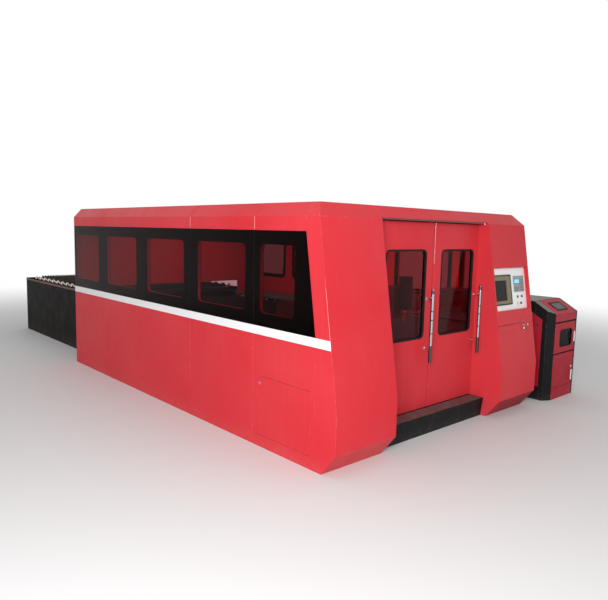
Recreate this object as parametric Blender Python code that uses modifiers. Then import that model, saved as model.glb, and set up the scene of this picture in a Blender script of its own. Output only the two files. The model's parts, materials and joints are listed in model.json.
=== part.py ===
"""Enclosed sheet cutting machine with a pallet exchange table and a free-standing control cabinet.

Metres, +Z up. The front doors face -Y, the exchange table is behind at +Y and the cabinet stands
at +X. Sizes below are taken from the outer left face (x), the front-most face (y) and the floor (z);
one parent empty then moves the whole model so that its origin is under the middle of its base.
"""
import math

import bmesh
import bpy
from mathutils import Matrix, Vector

MODEL_NAME = "laser_cutting_machine"

# Shared clearances
SEAT_GAP = 0.0003
HINGE_GAP = 0.0009
DOOR_GAP = 0.003
OVERRUN = 0.02
MERGE = 0.00001

# Enclosure
WIDTH = 3.19
HEIGHT = 2.167
WALL = 0.04
ROOF_PLATE = 0.03
EAVE_DROP = 0.117
CHAMFER = 0.105
BAY = 1.07
BAY_COUNT = 5
END_BAY_CUT = 0.122
SEAM_WIDTH = 0.006
SEAM_DEPTH = 0.004

# Folded front profile, shared by the pillar, the tower and the header
TOE_BACK = 0.157
TOE_Z = 0.197
BELLY_Z = 0.536
FRONT_LEAN = math.radians(9.25)
COLUMN_TOP_RUN = 0.0484
PILLAR_WIDTH = 0.736
TOWER_WIDTH = 0.75
EDGE_ROUND = 0.005

# Side walls
CORNER_WRAP = 0.25
STRIPE_LOW = 1.016
STRIPE_HIGH = 1.092
STRIPE_PLATE = 0.002
FASCIA_DROP = 0.12
BAND_SETBACK = 0.169
BAND_PLATE = 0.006
WINDOW_WALL = 0.03
WINDOW_LOW = 1.21
WINDOW_HEAD_MARGIN = 0.12
WINDOW_ROUND = 0.05
WINDOW_FIRST = 0.53
WINDOW_MARGIN = 0.138
WINDOW_END_MARGIN = 0.086
ROUND_STEPS = 4

# Service door low on the left wall
ACCESS_START = 0.295
ACCESS_END = 0.990
ACCESS_LOW = 0.112
ACCESS_HIGH = 0.645
ACCESS_PLATE = 0.018
LOCK_RADIUS = 0.013
LOCK_PROUD = 0.005
LOCK_INSET = 0.03
LOCK_DROP = 0.062

# Front doorway
DOOR_SETBACK = 0.04
DOOR_PLATE = 0.035
DOOR_BOTTOM = 0.206
DOOR_HEAD_GAP = 0.022
DOOR_SEAM_X = 1.656
DOOR_SEAM = 0.016
HEAD_RISE = 0.012
HEAD_STRIP_BAR = 0.012
HEAD_STRIP_DEPTH = 0.08
HEAD_STRIP_BACK = 0.006
POST_WIDTH = 0.09
POST_DEPTH = 0.045
POST_GAP = 0.0005
PANE_LOW = 0.912
PANE_HEAD_MARGIN = 0.257
LEFT_PANE_START = 0.937
LEFT_PANE_END = 1.548
RIGHT_PANE_START = 1.787
RIGHT_PANE_END = 2.365
PANE_ROUND = 0.055
PANE_PLATE = 0.006
GASKET_WIDTH = 0.018
GASKET_PROUD = 0.003
STEP_TOP = 0.20
STEP_FRONT = 0.19
STEP_UNDERCUT = 0.026

# Pull bars
BAR_RADIUS = 0.015
BAR_OUT = 0.075
BAR_LOW = 0.675
BAR_HIGH = 1.40
BAR_POST_RADIUS = 0.009
BAR_POST_LOW = 0.81
BAR_POST_HIGH = 1.30
LEFT_BAR_X = 1.567
RIGHT_BAR_X = 2.412
BAR_SIDES = 12

# Operator console in the tower
NICHE_SIDE = 0.022
NICHE_LOW = 1.137
NICHE_HIGH = 1.590
NICHE_DEPTH = 0.040
CONSOLE_PLATE = 0.012
MONITOR_LEFT = 0.012
MONITOR_RIGHT = 0.366
MONITOR_LOW = 1.197
MONITOR_HIGH = 1.516
MONITOR_PROUD = 0.016
SCREEN_LEFT = 0.022
SCREEN_RIGHT = 0.103
SCREEN_BOTTOM = 0.048
SCREEN_TOP = 0.062
SCREEN_SUNK = 0.006
KEYPAD_LEFT = 0.465
KEYPAD_RIGHT = 0.690
KEYPAD_LOW = 1.322
KEYPAD_HIGH = 1.499
KEYPAD_PROUD = 0.005
DISPLAY_INSET = 0.014
DISPLAY_WIDTH = 0.104
DISPLAY_HEIGHT = 0.044
DISPLAY_DROP = 0.038
DISPLAY_PROUD = 0.002
SMALL_ROUND = 0.006

# Push buttons and knobs
BUTTON_RADIUS = 0.014
BUTTON_CAP = 0.007
BUTTON_TRAVEL = 0.003
BUTTON_AIR = 0.001
STEM_RADIUS = 0.007
STEM_GAP = 0.0005
KNOB_RADIUS = 0.015
KNOB_HEIGHT = 0.008
KNOB_GRIP = 0.008
STOP_RADIUS = 0.018
STOP_CAP = 0.014
ROUND_SIDES = 14
CONSOLE_UPPER_ROW = 1.272
CONSOLE_LOWER_ROW = 1.199
CONSOLE_LEFT_COLUMN = 0.535
CONSOLE_RIGHT_COLUMN = 0.624
CONSOLE_KEY_COLUMN = 0.594

# Button plate beside the drawer
PLATE_LEFT = 0.487
PLATE_RIGHT = 0.690
PLATE_LOW = 0.885
PLATE_HIGH = 1.045
BUTTON_PLATE = 0.012
BUTTON_PLATE_PROUD = 0.002
STOP_X = 0.522
STOP_Z = 0.957
POWER_X = 0.620
POWER_Z = 0.957
LAMP_X = 0.532
LAMP_Z = 0.925
UPPER_BLACK_X = 0.522
UPPER_BLACK_Z = 0.995
LOWER_BLACK_X = 0.579
LOWER_BLACK_Z = 0.918
SMALL_BUTTON_RADIUS = 0.011

# Keyboard drawer
DRAWER_LEFT = 0.008
DRAWER_RIGHT = 0.472
DRAWER_LOW = 0.902
DRAWER_HIGH = 0.989
DRAWER_FRONT = 0.012
DRAWER_SHEET = 0.004
DRAWER_BACK = 0.35
DRAWER_SIDE_RISE = 0.045
DRAWER_RUN = 0.0008
DRAWER_TOP_GAP = 0.006
KEYBOARD_MARGIN = 0.025
KEYBOARD_DEPTH = 0.14
KEYBOARD_THICK = 0.018
KEYBOARD_FRONT_GAP = 0.03

# Machine bed
BED_INSET = 0.20
BED_BEAM = 0.16
BED_LOW = 0.08
BED_HIGH = 0.90
BED_START = 0.62
BED_END_SPACE = 0.128
BED_TIE = 0.12
BED_TIE_TOP = 0.30
FOOT = 0.18
RAIL_WIDTH = 0.04
RAIL_HIGH = 0.03

# Gantry, cross carriage and cutting head
GANTRY_Y = 0.78
GANTRY_DEPTH = 0.22
GANTRY_LOW = 1.10
GANTRY_HIGH = 1.30
TRUCK_WIDTH = 0.14
TRUCK_LENGTH = 0.42
TRUCK_HIGH = 1.03
CARRIAGE_WIDTH = 0.26
CARRIAGE_DEPTH = 0.09
CARRIAGE_LOW = 1.07
CARRIAGE_HIGH = 1.40
CAP_PLATE = 0.02
HEAD_WIDTH = 0.11
HEAD_DEPTH = 0.10
HEAD_LOW = 1.16
HEAD_HIGH = 1.50
NOZZLE_TIP_Z = 1.025
NOZZLE_TIP_RADIUS = 0.006
NOZZLE_RADIUS = 0.032

# Slatted pallets
SLAT_COUNT = 14
SLAT_PITCH = 0.213
SLAT_PLATE = 0.006
SLAT_TOOTH_PITCH = 0.15
SLAT_TOOTH_SHARE = 0.30
SLAT_HIGH = 0.100
SLAT_EMBED = 0.012
PALLET_BAR = 0.06
PALLET_BAR_HIGH = 0.06
PALLET_SLAT_BASE = 0.028
PALLET_END_SPACE = 0.04
PALLET_TOTAL_HIGH = PALLET_SLAT_BASE + SLAT_HIGH
OUTER_PALLET_Z = 0.887
INNER_PALLET_Z = 0.733
OUTER_PALLET_INSET = 0.46
INNER_PALLET_INSET = 0.51
PALLET_WALL_GAP = 0.10
PALLET_TRAVEL = 3.26
LEDGE_PLATE = 0.02
LEDGE_LAP = 0.03

# Rear wall opening
MOUTH_INSET = 0.40
MOUTH_LOW = 0.68
MOUTH_HIGH = 1.07

# Exchange table
TABLE_INSET = 0.33
TABLE_PLATE = 0.015
TABLE_SIDE_TOP = 0.945
TABLE_END_TOP = 0.957
TABLE_LENGTH = 3.256
TABLE_FRONT_TOP = 0.66
TABLE_TIE = 0.08
TABLE_TIE_Z = 0.12

# Control cabinet
CABINET_GAP = 0.325
CABINET_WIDTH = 0.67
CABINET_DEPTH = 0.75
CABINET_FRONT_TOP = 1.035
CABINET_TOP = 1.172
CABINET_SLOPE_DEPTH = 0.228
CABINET_CORNER = 0.105
CABINET_CORNER_DEPTH = 0.06
CABINET_BORDER = 0.03
CABINET_SHEET = 0.02
FRONT_PANEL = 0.0217
TOP_PANEL = 0.015
KICK_TOP = 0.136
LOWER_DOOR_LOW = 0.141
LOWER_DOOR_HIGH = 0.541
UPPER_DOOR_LOW = 0.559
UPPER_DOOR_HIGH = 0.917
TOP_BAND_LOW = 0.937
SHELF_Z = 0.690
SHELF_RISE = 0.085
SHELF_PLATE = 0.01
CABINET_PANE_LEFT = 0.137
CABINET_PANE_RIGHT = 0.443
CABINET_PANE_LOW = 0.630
CABINET_PANE_HIGH = 0.834
CABINET_PANE_ROUND = 0.035
CABINET_PANE_PLATE = 0.006
INSET_POST = 0.115
INSET_LOW = 0.165
INSET_FRONT_TOP = 0.963
INSET_TOP = 1.06
INSET_PLATE = 0.005
INSET_SUNK = 0.002
SCREEN_PLATE_LEFT = 0.137
SCREEN_PLATE_RIGHT = 0.402
SCREEN_PLATE_START = 0.053
SCREEN_PLATE_LENGTH = 0.152
SCREEN_PLATE_THICK = 0.005
SCREEN_BORDER = 0.022
PULL_RADIUS = 0.009
PULL_OUT = 0.030
PULL_BEND = 0.012
PULL_LENGTH = 0.108
UPPER_PULL_X = 0.464
UPPER_PULL_LOW = 0.680
LOWER_PULL_X = 0.450
LOWER_PULL_LOW = 0.205
CABINET_LOCK_X = 0.485
CABINET_LOCK_Z = 0.352
CABINET_LOCK_RADIUS = 0.010
CABINET_LOCK_PROUD = 0.004

# Places that several pieces share
LENGTH = BAY_COUNT * BAY - END_BAY_CUT
EAVE_Z = HEIGHT - EAVE_DROP
EAVE_Y = (EAVE_Z - BELLY_Z) * math.tan(FRONT_LEAN)
COLUMN_DEPTH = EAVE_Y + CHAMFER + COLUMN_TOP_RUN
BAND_TOP = EAVE_Z - FASCIA_DROP
WINDOW_HIGH = BAND_TOP - WINDOW_HEAD_MARGIN
DOOR_Y = COLUMN_DEPTH - DOOR_SETBACK
HEAD_Z = EAVE_Z + HEAD_RISE
DOOR_TOP = HEAD_Z - DOOR_HEAD_GAP
PANE_HIGH = DOOR_TOP - PANE_HEAD_MARGIN
BED_END = LENGTH - BED_END_SPACE
TOWER_X = WIDTH - TOWER_WIDTH
CABINET_X = WIDTH + CABINET_GAP
PANELS_LEFT = CABINET_X + CABINET_CORNER
PANELS_RIGHT = CABINET_X + CABINET_WIDTH - CABINET_BORDER
TABLE_END = LENGTH + SEAT_GAP + TABLE_LENGTH
MIDDLE_X = WIDTH / 2
INNER_LEFT = WALL + SEAT_GAP
CEILING_Z = HEIGHT - ROOF_PLATE
ROOF_START = COLUMN_DEPTH + SEAT_GAP
PALLET_LEVELS = ((OUTER_PALLET_Z, OUTER_PALLET_INSET), (INNER_PALLET_Z, INNER_PALLET_INSET))
PALLET_LENGTH = (SLAT_COUNT - 1) * SLAT_PITCH + 2 * (PALLET_END_SPACE + PALLET_BAR)
OUTER_PALLET_START = LENGTH + PALLET_WALL_GAP
INNER_PALLET_START = OUTER_PALLET_START - PALLET_TRAVEL
LOW_X = -(max(STRIPE_PLATE, LOCK_PROUD) + SEAT_GAP)
HIGH_X = CABINET_X + CABINET_WIDTH
LOW_Y = -(PULL_OUT + PULL_RADIUS)
ORIGIN = Vector((-(LOW_X + HIGH_X) / 2, -(LOW_Y + TABLE_END) / 2, 0))

MATERIALS = {
    "red_paint": ((0.50, 0.012, 0.020), 0.28, 0.0, 1.0),
    "cabinet_red": ((0.36, 0.012, 0.018), 0.35, 0.0, 1.0),
    "black_paint": ((0.012, 0.012, 0.013), 0.45, 0.0, 1.0),
    "stripe_white": ((0.88, 0.88, 0.87), 0.30, 0.0, 1.0),
    "dark_wall": ((0.010, 0.009, 0.009), 0.55, 0.0, 1.0),
    "tinted_acrylic": ((0.030, 0.028, 0.030), 0.08, 0.0, 0.35),
    "door_glass": ((0.030, 0.012, 0.010), 0.08, 0.0, 0.40),
    "gasket_rubber": ((0.010, 0.010, 0.010), 0.75, 0.0, 1.0),
    "polished_steel": ((0.74, 0.75, 0.76), 0.18, 1.0, 1.0),
    "console_silver": ((0.80, 0.81, 0.81), 0.35, 0.0, 1.0),
    "bezel_gold": ((0.20, 0.16, 0.06), 0.40, 0.3, 1.0),
    "screen_glass": ((0.006, 0.006, 0.007), 0.10, 0.0, 1.0),
    "keypad_grey": ((0.33, 0.35, 0.35), 0.50, 0.0, 1.0),
    "lcd_blue": ((0.25, 0.75, 0.90), 0.20, 0.0, 1.0),
    "button_black": ((0.012, 0.013, 0.014), 0.40, 0.0, 1.0),
    "button_red": ((0.75, 0.10, 0.02), 0.35, 0.0, 1.0),
    "button_pink": ((0.80, 0.35, 0.36), 0.35, 0.0, 1.0),
    "button_white": ((0.85, 0.86, 0.85), 0.35, 0.0, 1.0),
    "button_yellow": ((0.80, 0.70, 0.20), 0.35, 0.0, 1.0),
    "bed_steel": ((0.10, 0.11, 0.12), 0.55, 0.0, 1.0),
    "gantry_aluminium": ((0.55, 0.56, 0.57), 0.40, 1.0, 1.0),
    "slat_steel": ((0.42, 0.36, 0.30), 0.50, 1.0, 1.0),
    "table_black": ((0.016, 0.013, 0.012), 0.60, 0.0, 1.0),
    "pull_white": ((0.85, 0.86, 0.86), 0.30, 0.0, 1.0),
    "display_grey": ((0.20, 0.20, 0.17), 0.25, 0.0, 1.0),
}


def slope_y(z):
    """Depth of the leaning front face at a height."""
    return (z - BELLY_Z) * math.tan(FRONT_LEAN)


def clear_scene():
    for old in list(bpy.data.objects):
        bpy.data.objects.remove(old, do_unlink=True)


def new_collection(name):
    made = bpy.data.collections.new(name)
    bpy.context.scene.collection.children.link(made)
    return made


def make_material(name, colour, roughness, metallic, alpha):
    made = bpy.data.materials.new(name)
    made.use_nodes = True
    shader = made.node_tree.nodes["Principled BSDF"]
    shader.inputs["Base Color"].default_value = (*colour, 1.0)
    shader.inputs["Roughness"].default_value = roughness
    shader.inputs["Metallic"].default_value = metallic
    shader.inputs["Alpha"].default_value = alpha
    made.diffuse_color = (*colour, alpha)
    return made


def add_object(name, mesh, slot=None):
    """A cutter has no slot; a piece joins the model's collection under the root empty."""
    made = bpy.data.objects.new(name, mesh)
    if slot is None:
        CUTTERS.objects.link(made)
        made.hide_render = True
        made.display_type = "WIRE"
    else:
        PIECES.objects.link(made)
        mesh.materials.append(PAINTS[slot])
    made.parent = ROOT
    return made


def box(name, low, high, slot=None):
    """A cube scaled to its two corners, with its origin in its middle."""
    size = Vector(high) - Vector(low)
    shape = bmesh.new()
    bmesh.ops.create_cube(shape, size=1)
    bmesh.ops.scale(shape, vec=size, verts=shape.verts)
    mesh = bpy.data.meshes.new(name)
    shape.to_mesh(mesh)
    shape.free()
    made = add_object(name, mesh, slot)
    made.location = (Vector(low) + Vector(high)) / 2
    return made


def rod(name, radius, end_radius, length, slot=None, sides=ROUND_SIDES):
    """A cylinder or cone along its own Z, standing on its origin."""
    shape = bmesh.new()
    bmesh.ops.create_cone(
        shape, cap_ends=True, segments=sides, radius1=radius, radius2=end_radius, depth=length
    )
    bmesh.ops.translate(shape, vec=(0, 0, length / 2), verts=shape.verts)
    mesh = bpy.data.meshes.new(name)
    shape.to_mesh(mesh)
    shape.free()
    mesh.shade_smooth()
    mesh.set_sharp_from_angle(angle=math.radians(40))
    return add_object(name, mesh, slot)


def flat(name, outlines, thick, slot=None):
    """A 2D outline, with holes if more than one, filled and extruded about its own plane."""
    curve = bpy.data.curves.new(name, "CURVE")
    curve.dimensions = "2D"
    curve.fill_mode = "BOTH"
    curve.extrude = thick / 2
    for points in outlines:
        line = curve.splines.new("POLY")
        line.points.add(len(points) - 1)
        for spot, (u, v) in zip(line.points, points):
            spot.co = (u, v, 0, 1)
        line.use_cyclic_u = True
    return curve_to_mesh(name, curve, slot)


def curve_to_mesh(name, curve, slot=None):
    source = bpy.data.objects.new(name + "_curve", curve)
    bpy.context.scene.collection.objects.link(source)
    bpy.context.view_layer.update()
    evaluated = source.evaluated_get(bpy.context.evaluated_depsgraph_get())
    mesh = bpy.data.meshes.new_from_object(evaluated)
    mesh.name = name
    shape = bmesh.new()
    shape.from_mesh(mesh)
    bmesh.ops.remove_doubles(shape, verts=shape.verts, dist=MERGE)
    bmesh.ops.recalc_face_normals(shape, faces=shape.faces)
    shape.to_mesh(mesh)
    shape.free()
    mesh.materials.clear()
    bpy.data.objects.remove(source, do_unlink=True)
    return add_object(name, mesh, slot)


def across(name, outlines, start, end, slot=None):
    """An outline in (y, z) that runs along x."""
    made = flat(name, outlines, end - start, slot)
    turn = Matrix(((0, 0, 1), (1, 0, 0), (0, 1, 0))).to_4x4()
    made.matrix_basis = Matrix.Translation(((start + end) / 2, 0, 0)) @ turn
    return made


def along(name, outlines, start, end, slot=None):
    """An outline in (x, z) that runs along y."""
    made = flat(name, outlines, end - start, slot)
    turn = Matrix(((1, 0, 0), (0, 0, -1), (0, 1, 0))).to_4x4()
    made.matrix_basis = Matrix.Translation((0, (start + end) / 2, 0)) @ turn
    return made


def rounded(left, right, low, high, radius):
    """Points of a rectangle with round corners, anticlockwise."""
    points = []
    corners = (
        (right - radius, high - radius, 0),
        (left + radius, high - radius, 1),
        (left + radius, low + radius, 2),
        (right - radius, low + radius, 3),
    )
    for centre_u, centre_v, quarter in corners:
        for step in range(ROUND_STEPS + 1):
            angle = (quarter + step / ROUND_STEPS) * math.pi / 2
            points.append((centre_u + radius * math.cos(angle), centre_v + radius * math.sin(angle)))
    return points


def rectangle(left, right, low, high):
    return [(left, low), (right, low), (right, high), (left, high)]


def place_on_slope(made, x, z, out):
    """Turns a piece's own Z to the leaning face's outward side, its foot that far off the face."""
    right = Vector((1, 0, 0))
    up = Vector((0, math.sin(FRONT_LEAN), math.cos(FRONT_LEAN)))
    normal = right.cross(up)
    turn = Matrix((right, up, normal)).transposed().to_4x4()
    spot = Vector((x, slope_y(z), z)) + normal * out
    made.matrix_basis = Matrix.Translation(spot) @ turn
    return made


def boolean(made, tool, operation):
    step = made.modifiers.new(operation.lower() + "_" + tool.name, "BOOLEAN")
    step.operation = operation
    step.solver = "EXACT"
    step.object = tool
    return made


def cut(made, tool):
    return boolean(made, tool, "DIFFERENCE")


def join(made, tool):
    return boolean(made, tool, "UNION")


def round_edges(made, width, segments=1):
    step = made.modifiers.new("edges", "BEVEL")
    step.width = width
    step.segments = segments
    step.limit_method = "ANGLE"
    step.angle_limit = math.radians(30)
    return made


def turned(name, profile, slot):
    """A closed turned piece: the profile runs down its outer side."""
    mesh = bpy.data.meshes.new(name)
    count = len(profile)
    mesh.from_pydata([(r, 0, z) for r, z in profile], [(i, i + 1) for i in range(count - 1)], [])
    made = add_object(name, mesh, slot)
    step = made.modifiers.new("turn", "SCREW")
    step.angle = math.tau
    step.steps = ROUND_SIDES
    step.render_steps = ROUND_SIDES
    step.use_merge_vertices = True
    step.merge_threshold = MERGE
    step.use_smooth_shade = True
    return made


def front_outline():
    """The folded column seen from the side: undercut toe, belly, leaning face and top chamfer."""
    return [
        (TOE_BACK, 0),
        (0, TOE_Z),
        (0, BELLY_Z),
        (EAVE_Y, EAVE_Z),
        (EAVE_Y + CHAMFER, HEIGHT),
        (COLUMN_DEPTH, HEIGHT),
        (COLUMN_DEPTH, 0),
    ]


def band_front(z):
    return slope_y(z) + BAND_SETBACK


def cut_wall_seat(column, face, inward):
    """The side wall's panel and tinted band let into the column's outer skin."""
    outline = [
        (CORNER_WRAP, -OVERRUN),
        (CORNER_WRAP, STRIPE_HIGH),
        (band_front(STRIPE_HIGH), STRIPE_HIGH),
        (band_front(BAND_TOP), BAND_TOP),
        (COLUMN_DEPTH + OVERRUN, BAND_TOP),
        (COLUMN_DEPTH + OVERRUN, -OVERRUN),
    ]
    ends = sorted((face - inward * OVERRUN, face + inward * (WALL + SEAT_GAP)))
    cut(column, across(column.name + "_seat", [outline], ends[0], ends[1]))


def cut_side_chamfer(column, face, inward):
    rise = HEIGHT - EAVE_Z
    outline = [
        (face - inward * OVERRUN, EAVE_Z - rise * OVERRUN / CHAMFER),
        (face + inward * (CHAMFER + OVERRUN), HEIGHT + rise * OVERRUN / CHAMFER),
        (face - inward * OVERRUN, HEIGHT + rise * OVERRUN / CHAMFER),
    ]
    cut(column, along(column.name + "_chamfer", [outline], -OVERRUN, COLUMN_DEPTH + OVERRUN))


def build_pillar():
    pillar = across("front_pillar", [front_outline()], 0, PILLAR_WIDTH, "red_paint")
    cut_wall_seat(pillar, 0, 1)
    cut_side_chamfer(pillar, 0, 1)


def slope_pocket(name, left, right, low, high, depth, radius):
    """A round-cornered cutter sunk square into the leaning face of the tower."""
    middle_z = (low + high) / 2
    half = (high - low) / 2 / math.cos(FRONT_LEAN)
    points = rounded(left - right, 0, -half, half, radius)
    tool = flat(name, [points], depth + OVERRUN)
    return place_on_slope(tool, TOWER_X + right, middle_z, (OVERRUN - depth) / 2)


def build_tower():
    tower = across("control_tower", [front_outline()], TOWER_X, WIDTH, "red_paint")
    cut_wall_seat(tower, WIDTH, -1)
    cut_side_chamfer(tower, WIDTH, -1)
    cut(tower, slope_pocket(
        "niche_pocket", NICHE_SIDE, TOWER_WIDTH - NICHE_SIDE, NICHE_LOW, NICHE_HIGH,
        NICHE_DEPTH + CONSOLE_PLATE + SEAT_GAP, SMALL_ROUND,
    ))
    cut(tower, slope_pocket(
        "plate_pocket", PLATE_LEFT, PLATE_RIGHT, PLATE_LOW, PLATE_HIGH,
        BUTTON_PLATE - BUTTON_PLATE_PROUD + SEAT_GAP, SMALL_ROUND,
    ))
    cut(tower, box(
        "drawer_pocket",
        (TOWER_X + DRAWER_LEFT, -OVERRUN, DRAWER_LOW),
        (TOWER_X + DRAWER_RIGHT, DRAWER_BACK + DRAWER_RUN, DRAWER_HIGH),
    ))


def build_header():
    """The chamfered beam over the doorway, with the post that the right leaf hangs on."""
    rise_share = (HEAD_Z - EAVE_Z) / (HEIGHT - EAVE_Z)
    outline = [
        (EAVE_Y + CHAMFER * rise_share, HEAD_Z),
        (EAVE_Y + CHAMFER, HEIGHT),
        (COLUMN_DEPTH, HEIGHT),
        (COLUMN_DEPTH, HEAD_Z),
    ]
    header = across(
        "front_header", [outline], PILLAR_WIDTH + SEAT_GAP, TOWER_X - SEAT_GAP, "red_paint"
    )
    post_front = DOOR_Y + DOOR_PLATE + POST_GAP
    join(header, box(
        "header_post",
        (DOOR_SEAM_X - POST_WIDTH / 2, post_front, STEP_TOP + SEAT_GAP),
        (DOOR_SEAM_X + POST_WIDTH / 2, post_front + POST_DEPTH, CEILING_Z - SEAT_GAP),
    ))
    box(
        "door_head_strip",
        (PILLAR_WIDTH + SEAT_GAP, DOOR_Y - HEAD_STRIP_BACK - HEAD_STRIP_DEPTH,
         HEAD_Z - SEAT_GAP - HEAD_STRIP_BAR),
        (TOWER_X - SEAT_GAP, DOOR_Y - HEAD_STRIP_BACK, HEAD_Z - SEAT_GAP),
        "polished_steel",
    )


def build_step():
    outline = [
        (STEP_FRONT + STEP_UNDERCUT, 0),
        (STEP_FRONT, STEP_TOP),
        (COLUMN_DEPTH, STEP_TOP),
        (COLUMN_DEPTH, 0),
    ]
    across("front_step", [outline], PILLAR_WIDTH + SEAT_GAP, TOWER_X - SEAT_GAP, "black_paint")


def wall_ends(face, inward, start, end):
    return sorted((face + inward * start, face + inward * end))


def seam_places():
    return [BAY * count for count in range(1, BAY_COUNT)]


def build_side_panel(name, face, inward):
    ends = wall_ends(face, inward, 0, WALL)
    panel = box(
        name,
        (ends[0], CORNER_WRAP + SEAT_GAP, 0),
        (ends[1], LENGTH, STRIPE_HIGH - SEAT_GAP),
        "red_paint",
    )
    groove = wall_ends(face, inward, -OVERRUN, SEAM_DEPTH)
    for place in seam_places():
        cut(panel, box(
            name + "_seam",
            (groove[0], place - SEAM_WIDTH / 2, -OVERRUN),
            (groove[1], place + SEAM_WIDTH / 2, STRIPE_LOW - SEAM_WIDTH),
        ))
    return panel


def build_stripe(name, face, inward):
    outline = [
        (slope_y(STRIPE_LOW) + SEAT_GAP, STRIPE_LOW),
        (LENGTH, STRIPE_LOW),
        (LENGTH, STRIPE_HIGH),
        (slope_y(STRIPE_HIGH) + SEAT_GAP, STRIPE_HIGH),
    ]
    ends = wall_ends(face, inward, -(STRIPE_PLATE + SEAT_GAP), -SEAT_GAP)
    across(name, [outline], ends[0], ends[1], "stripe_white")


def band_outline():
    low = STRIPE_HIGH
    high = BAND_TOP - SEAT_GAP
    return [
        (band_front(low) + SEAT_GAP, low),
        (LENGTH, low),
        (LENGTH, high),
        (band_front(high) + SEAT_GAP, high),
    ]


def window_spans():
    """One cut-out for each bay, closer to the wall's two ends."""
    seams = seam_places()
    spans = [(WINDOW_FIRST, seams[0] - WINDOW_END_MARGIN)]
    for start, end in zip(seams, seams[1:]):
        spans.append((start + WINDOW_MARGIN, end - WINDOW_MARGIN))
    spans.append((seams[-1] + WINDOW_MARGIN, LENGTH - WINDOW_END_MARGIN))
    return spans


def build_window_wall(side, face, inward):
    holes = [rounded(a, b, WINDOW_LOW, WINDOW_HIGH, WINDOW_ROUND) for a, b in window_spans()]
    ends = wall_ends(face, inward, BAND_PLATE + SEAT_GAP, BAND_PLATE + SEAT_GAP + WINDOW_WALL)
    across("window_wall_" + side, [band_outline()] + holes, ends[0], ends[1], "dark_wall")
    ends = wall_ends(face, inward, 0, BAND_PLATE)
    across("tinted_band_" + side, [band_outline()], ends[0], ends[1], "tinted_acrylic")


def build_access_door():
    """The flush service door, hinged along its front edge, and its quarter-turn lock."""
    panel = PIECES.objects["side_panel_left"]
    cut(panel, box(
        "access_hole",
        (-OVERRUN, ACCESS_START - HINGE_GAP, ACCESS_LOW - DOOR_GAP),
        (WALL + OVERRUN, ACCESS_END + DOOR_GAP, ACCESS_HIGH + DOOR_GAP),
    ))
    door = box(
        "access_door",
        (0, ACCESS_START, ACCESS_LOW),
        (ACCESS_PLATE, ACCESS_END, ACCESS_HIGH),
        "red_paint",
    )
    move_origin(door, (0, ACCESS_START, (ACCESS_LOW + ACCESS_HIGH) / 2))
    lock = rod("access_lock", LOCK_RADIUS, LOCK_RADIUS, LOCK_PROUD, "polished_steel")
    slot_width = LOCK_RADIUS / 4
    cut(lock, box(
        "access_lock_slot",
        (-LOCK_RADIUS - OVERRUN, -slot_width / 2, LOCK_PROUD / 2),
        (LOCK_RADIUS + OVERRUN, slot_width / 2, LOCK_PROUD + OVERRUN),
    ))
    follow(lock, "access_lock_slot")
    turn = Matrix.Rotation(-math.pi / 2, 4, "Y")
    lock.matrix_basis = Matrix.Translation(
        (-SEAT_GAP, ACCESS_END - LOCK_INSET, ACCESS_HIGH - LOCK_DROP)
    ) @ turn


def follow(made, cutter_name):
    """A cutter made in its piece's own frame moves with that piece."""
    tool = CUTTERS.objects[cutter_name]
    tool.parent = made


def move_origin(made, spot):
    shift = Vector(spot) - made.location
    made.data.transform(Matrix.Translation(-shift))
    made.location = Vector(spot)


def roof_outline(inset, foot):
    """Fascia, chamfer, roof, chamfer and fascia in one line, moved in by an inset."""
    lean = math.atan2(HEIGHT - EAVE_Z, CHAMFER)
    slip = inset * math.tan(lean / 2)
    return [
        (inset, foot),
        (inset, EAVE_Z - inset * math.tan((math.pi / 2 - lean) / 2)),
        (CHAMFER + slip, HEIGHT - inset),
        (WIDTH - CHAMFER - slip, HEIGHT - inset),
        (WIDTH - inset, EAVE_Z - inset * math.tan((math.pi / 2 - lean) / 2)),
        (WIDTH - inset, foot),
    ]


def build_roof():
    outer = roof_outline(0, BAND_TOP)
    inner = roof_outline(ROOF_PLATE, BAND_TOP)
    roof = along("roof_shell", [outer + inner[::-1]], ROOF_START, LENGTH, "red_paint")
    low = BAND_TOP - OVERRUN
    around = rectangle(-OVERRUN, WIDTH + OVERRUN, low, HEIGHT + OVERRUN)
    ring = [
        around[0],
        around[3],
        around[2],
        around[1],
        (WIDTH - SEAM_DEPTH, low),
    ] + roof_outline(SEAM_DEPTH, BAND_TOP)[::-1] + [(SEAM_DEPTH, low)]
    for count, place in enumerate(seam_places()):
        start = place - SEAM_WIDTH / 2
        cut(roof, along("roof_seam_%d" % count, [ring], start, place + SEAM_WIDTH / 2))


def build_rear_wall():
    inset = ROOF_PLATE + SEAT_GAP
    ceiling = roof_outline(inset, BAND_TOP)[1:5]
    outline = [
        (INNER_LEFT, 0),
        (WIDTH - INNER_LEFT, 0),
        (WIDTH - INNER_LEFT, ceiling[3][1] - (WALL - ROOF_PLATE)),
        ceiling[2],
        ceiling[1],
        (INNER_LEFT, ceiling[0][1] - (WALL - ROOF_PLATE)),
    ]
    mouth = rectangle(MOUTH_INSET, WIDTH - MOUTH_INSET, MOUTH_LOW, MOUTH_HIGH)
    along("rear_wall", [outline, mouth], LENGTH - WALL, LENGTH, "red_paint")


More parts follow.
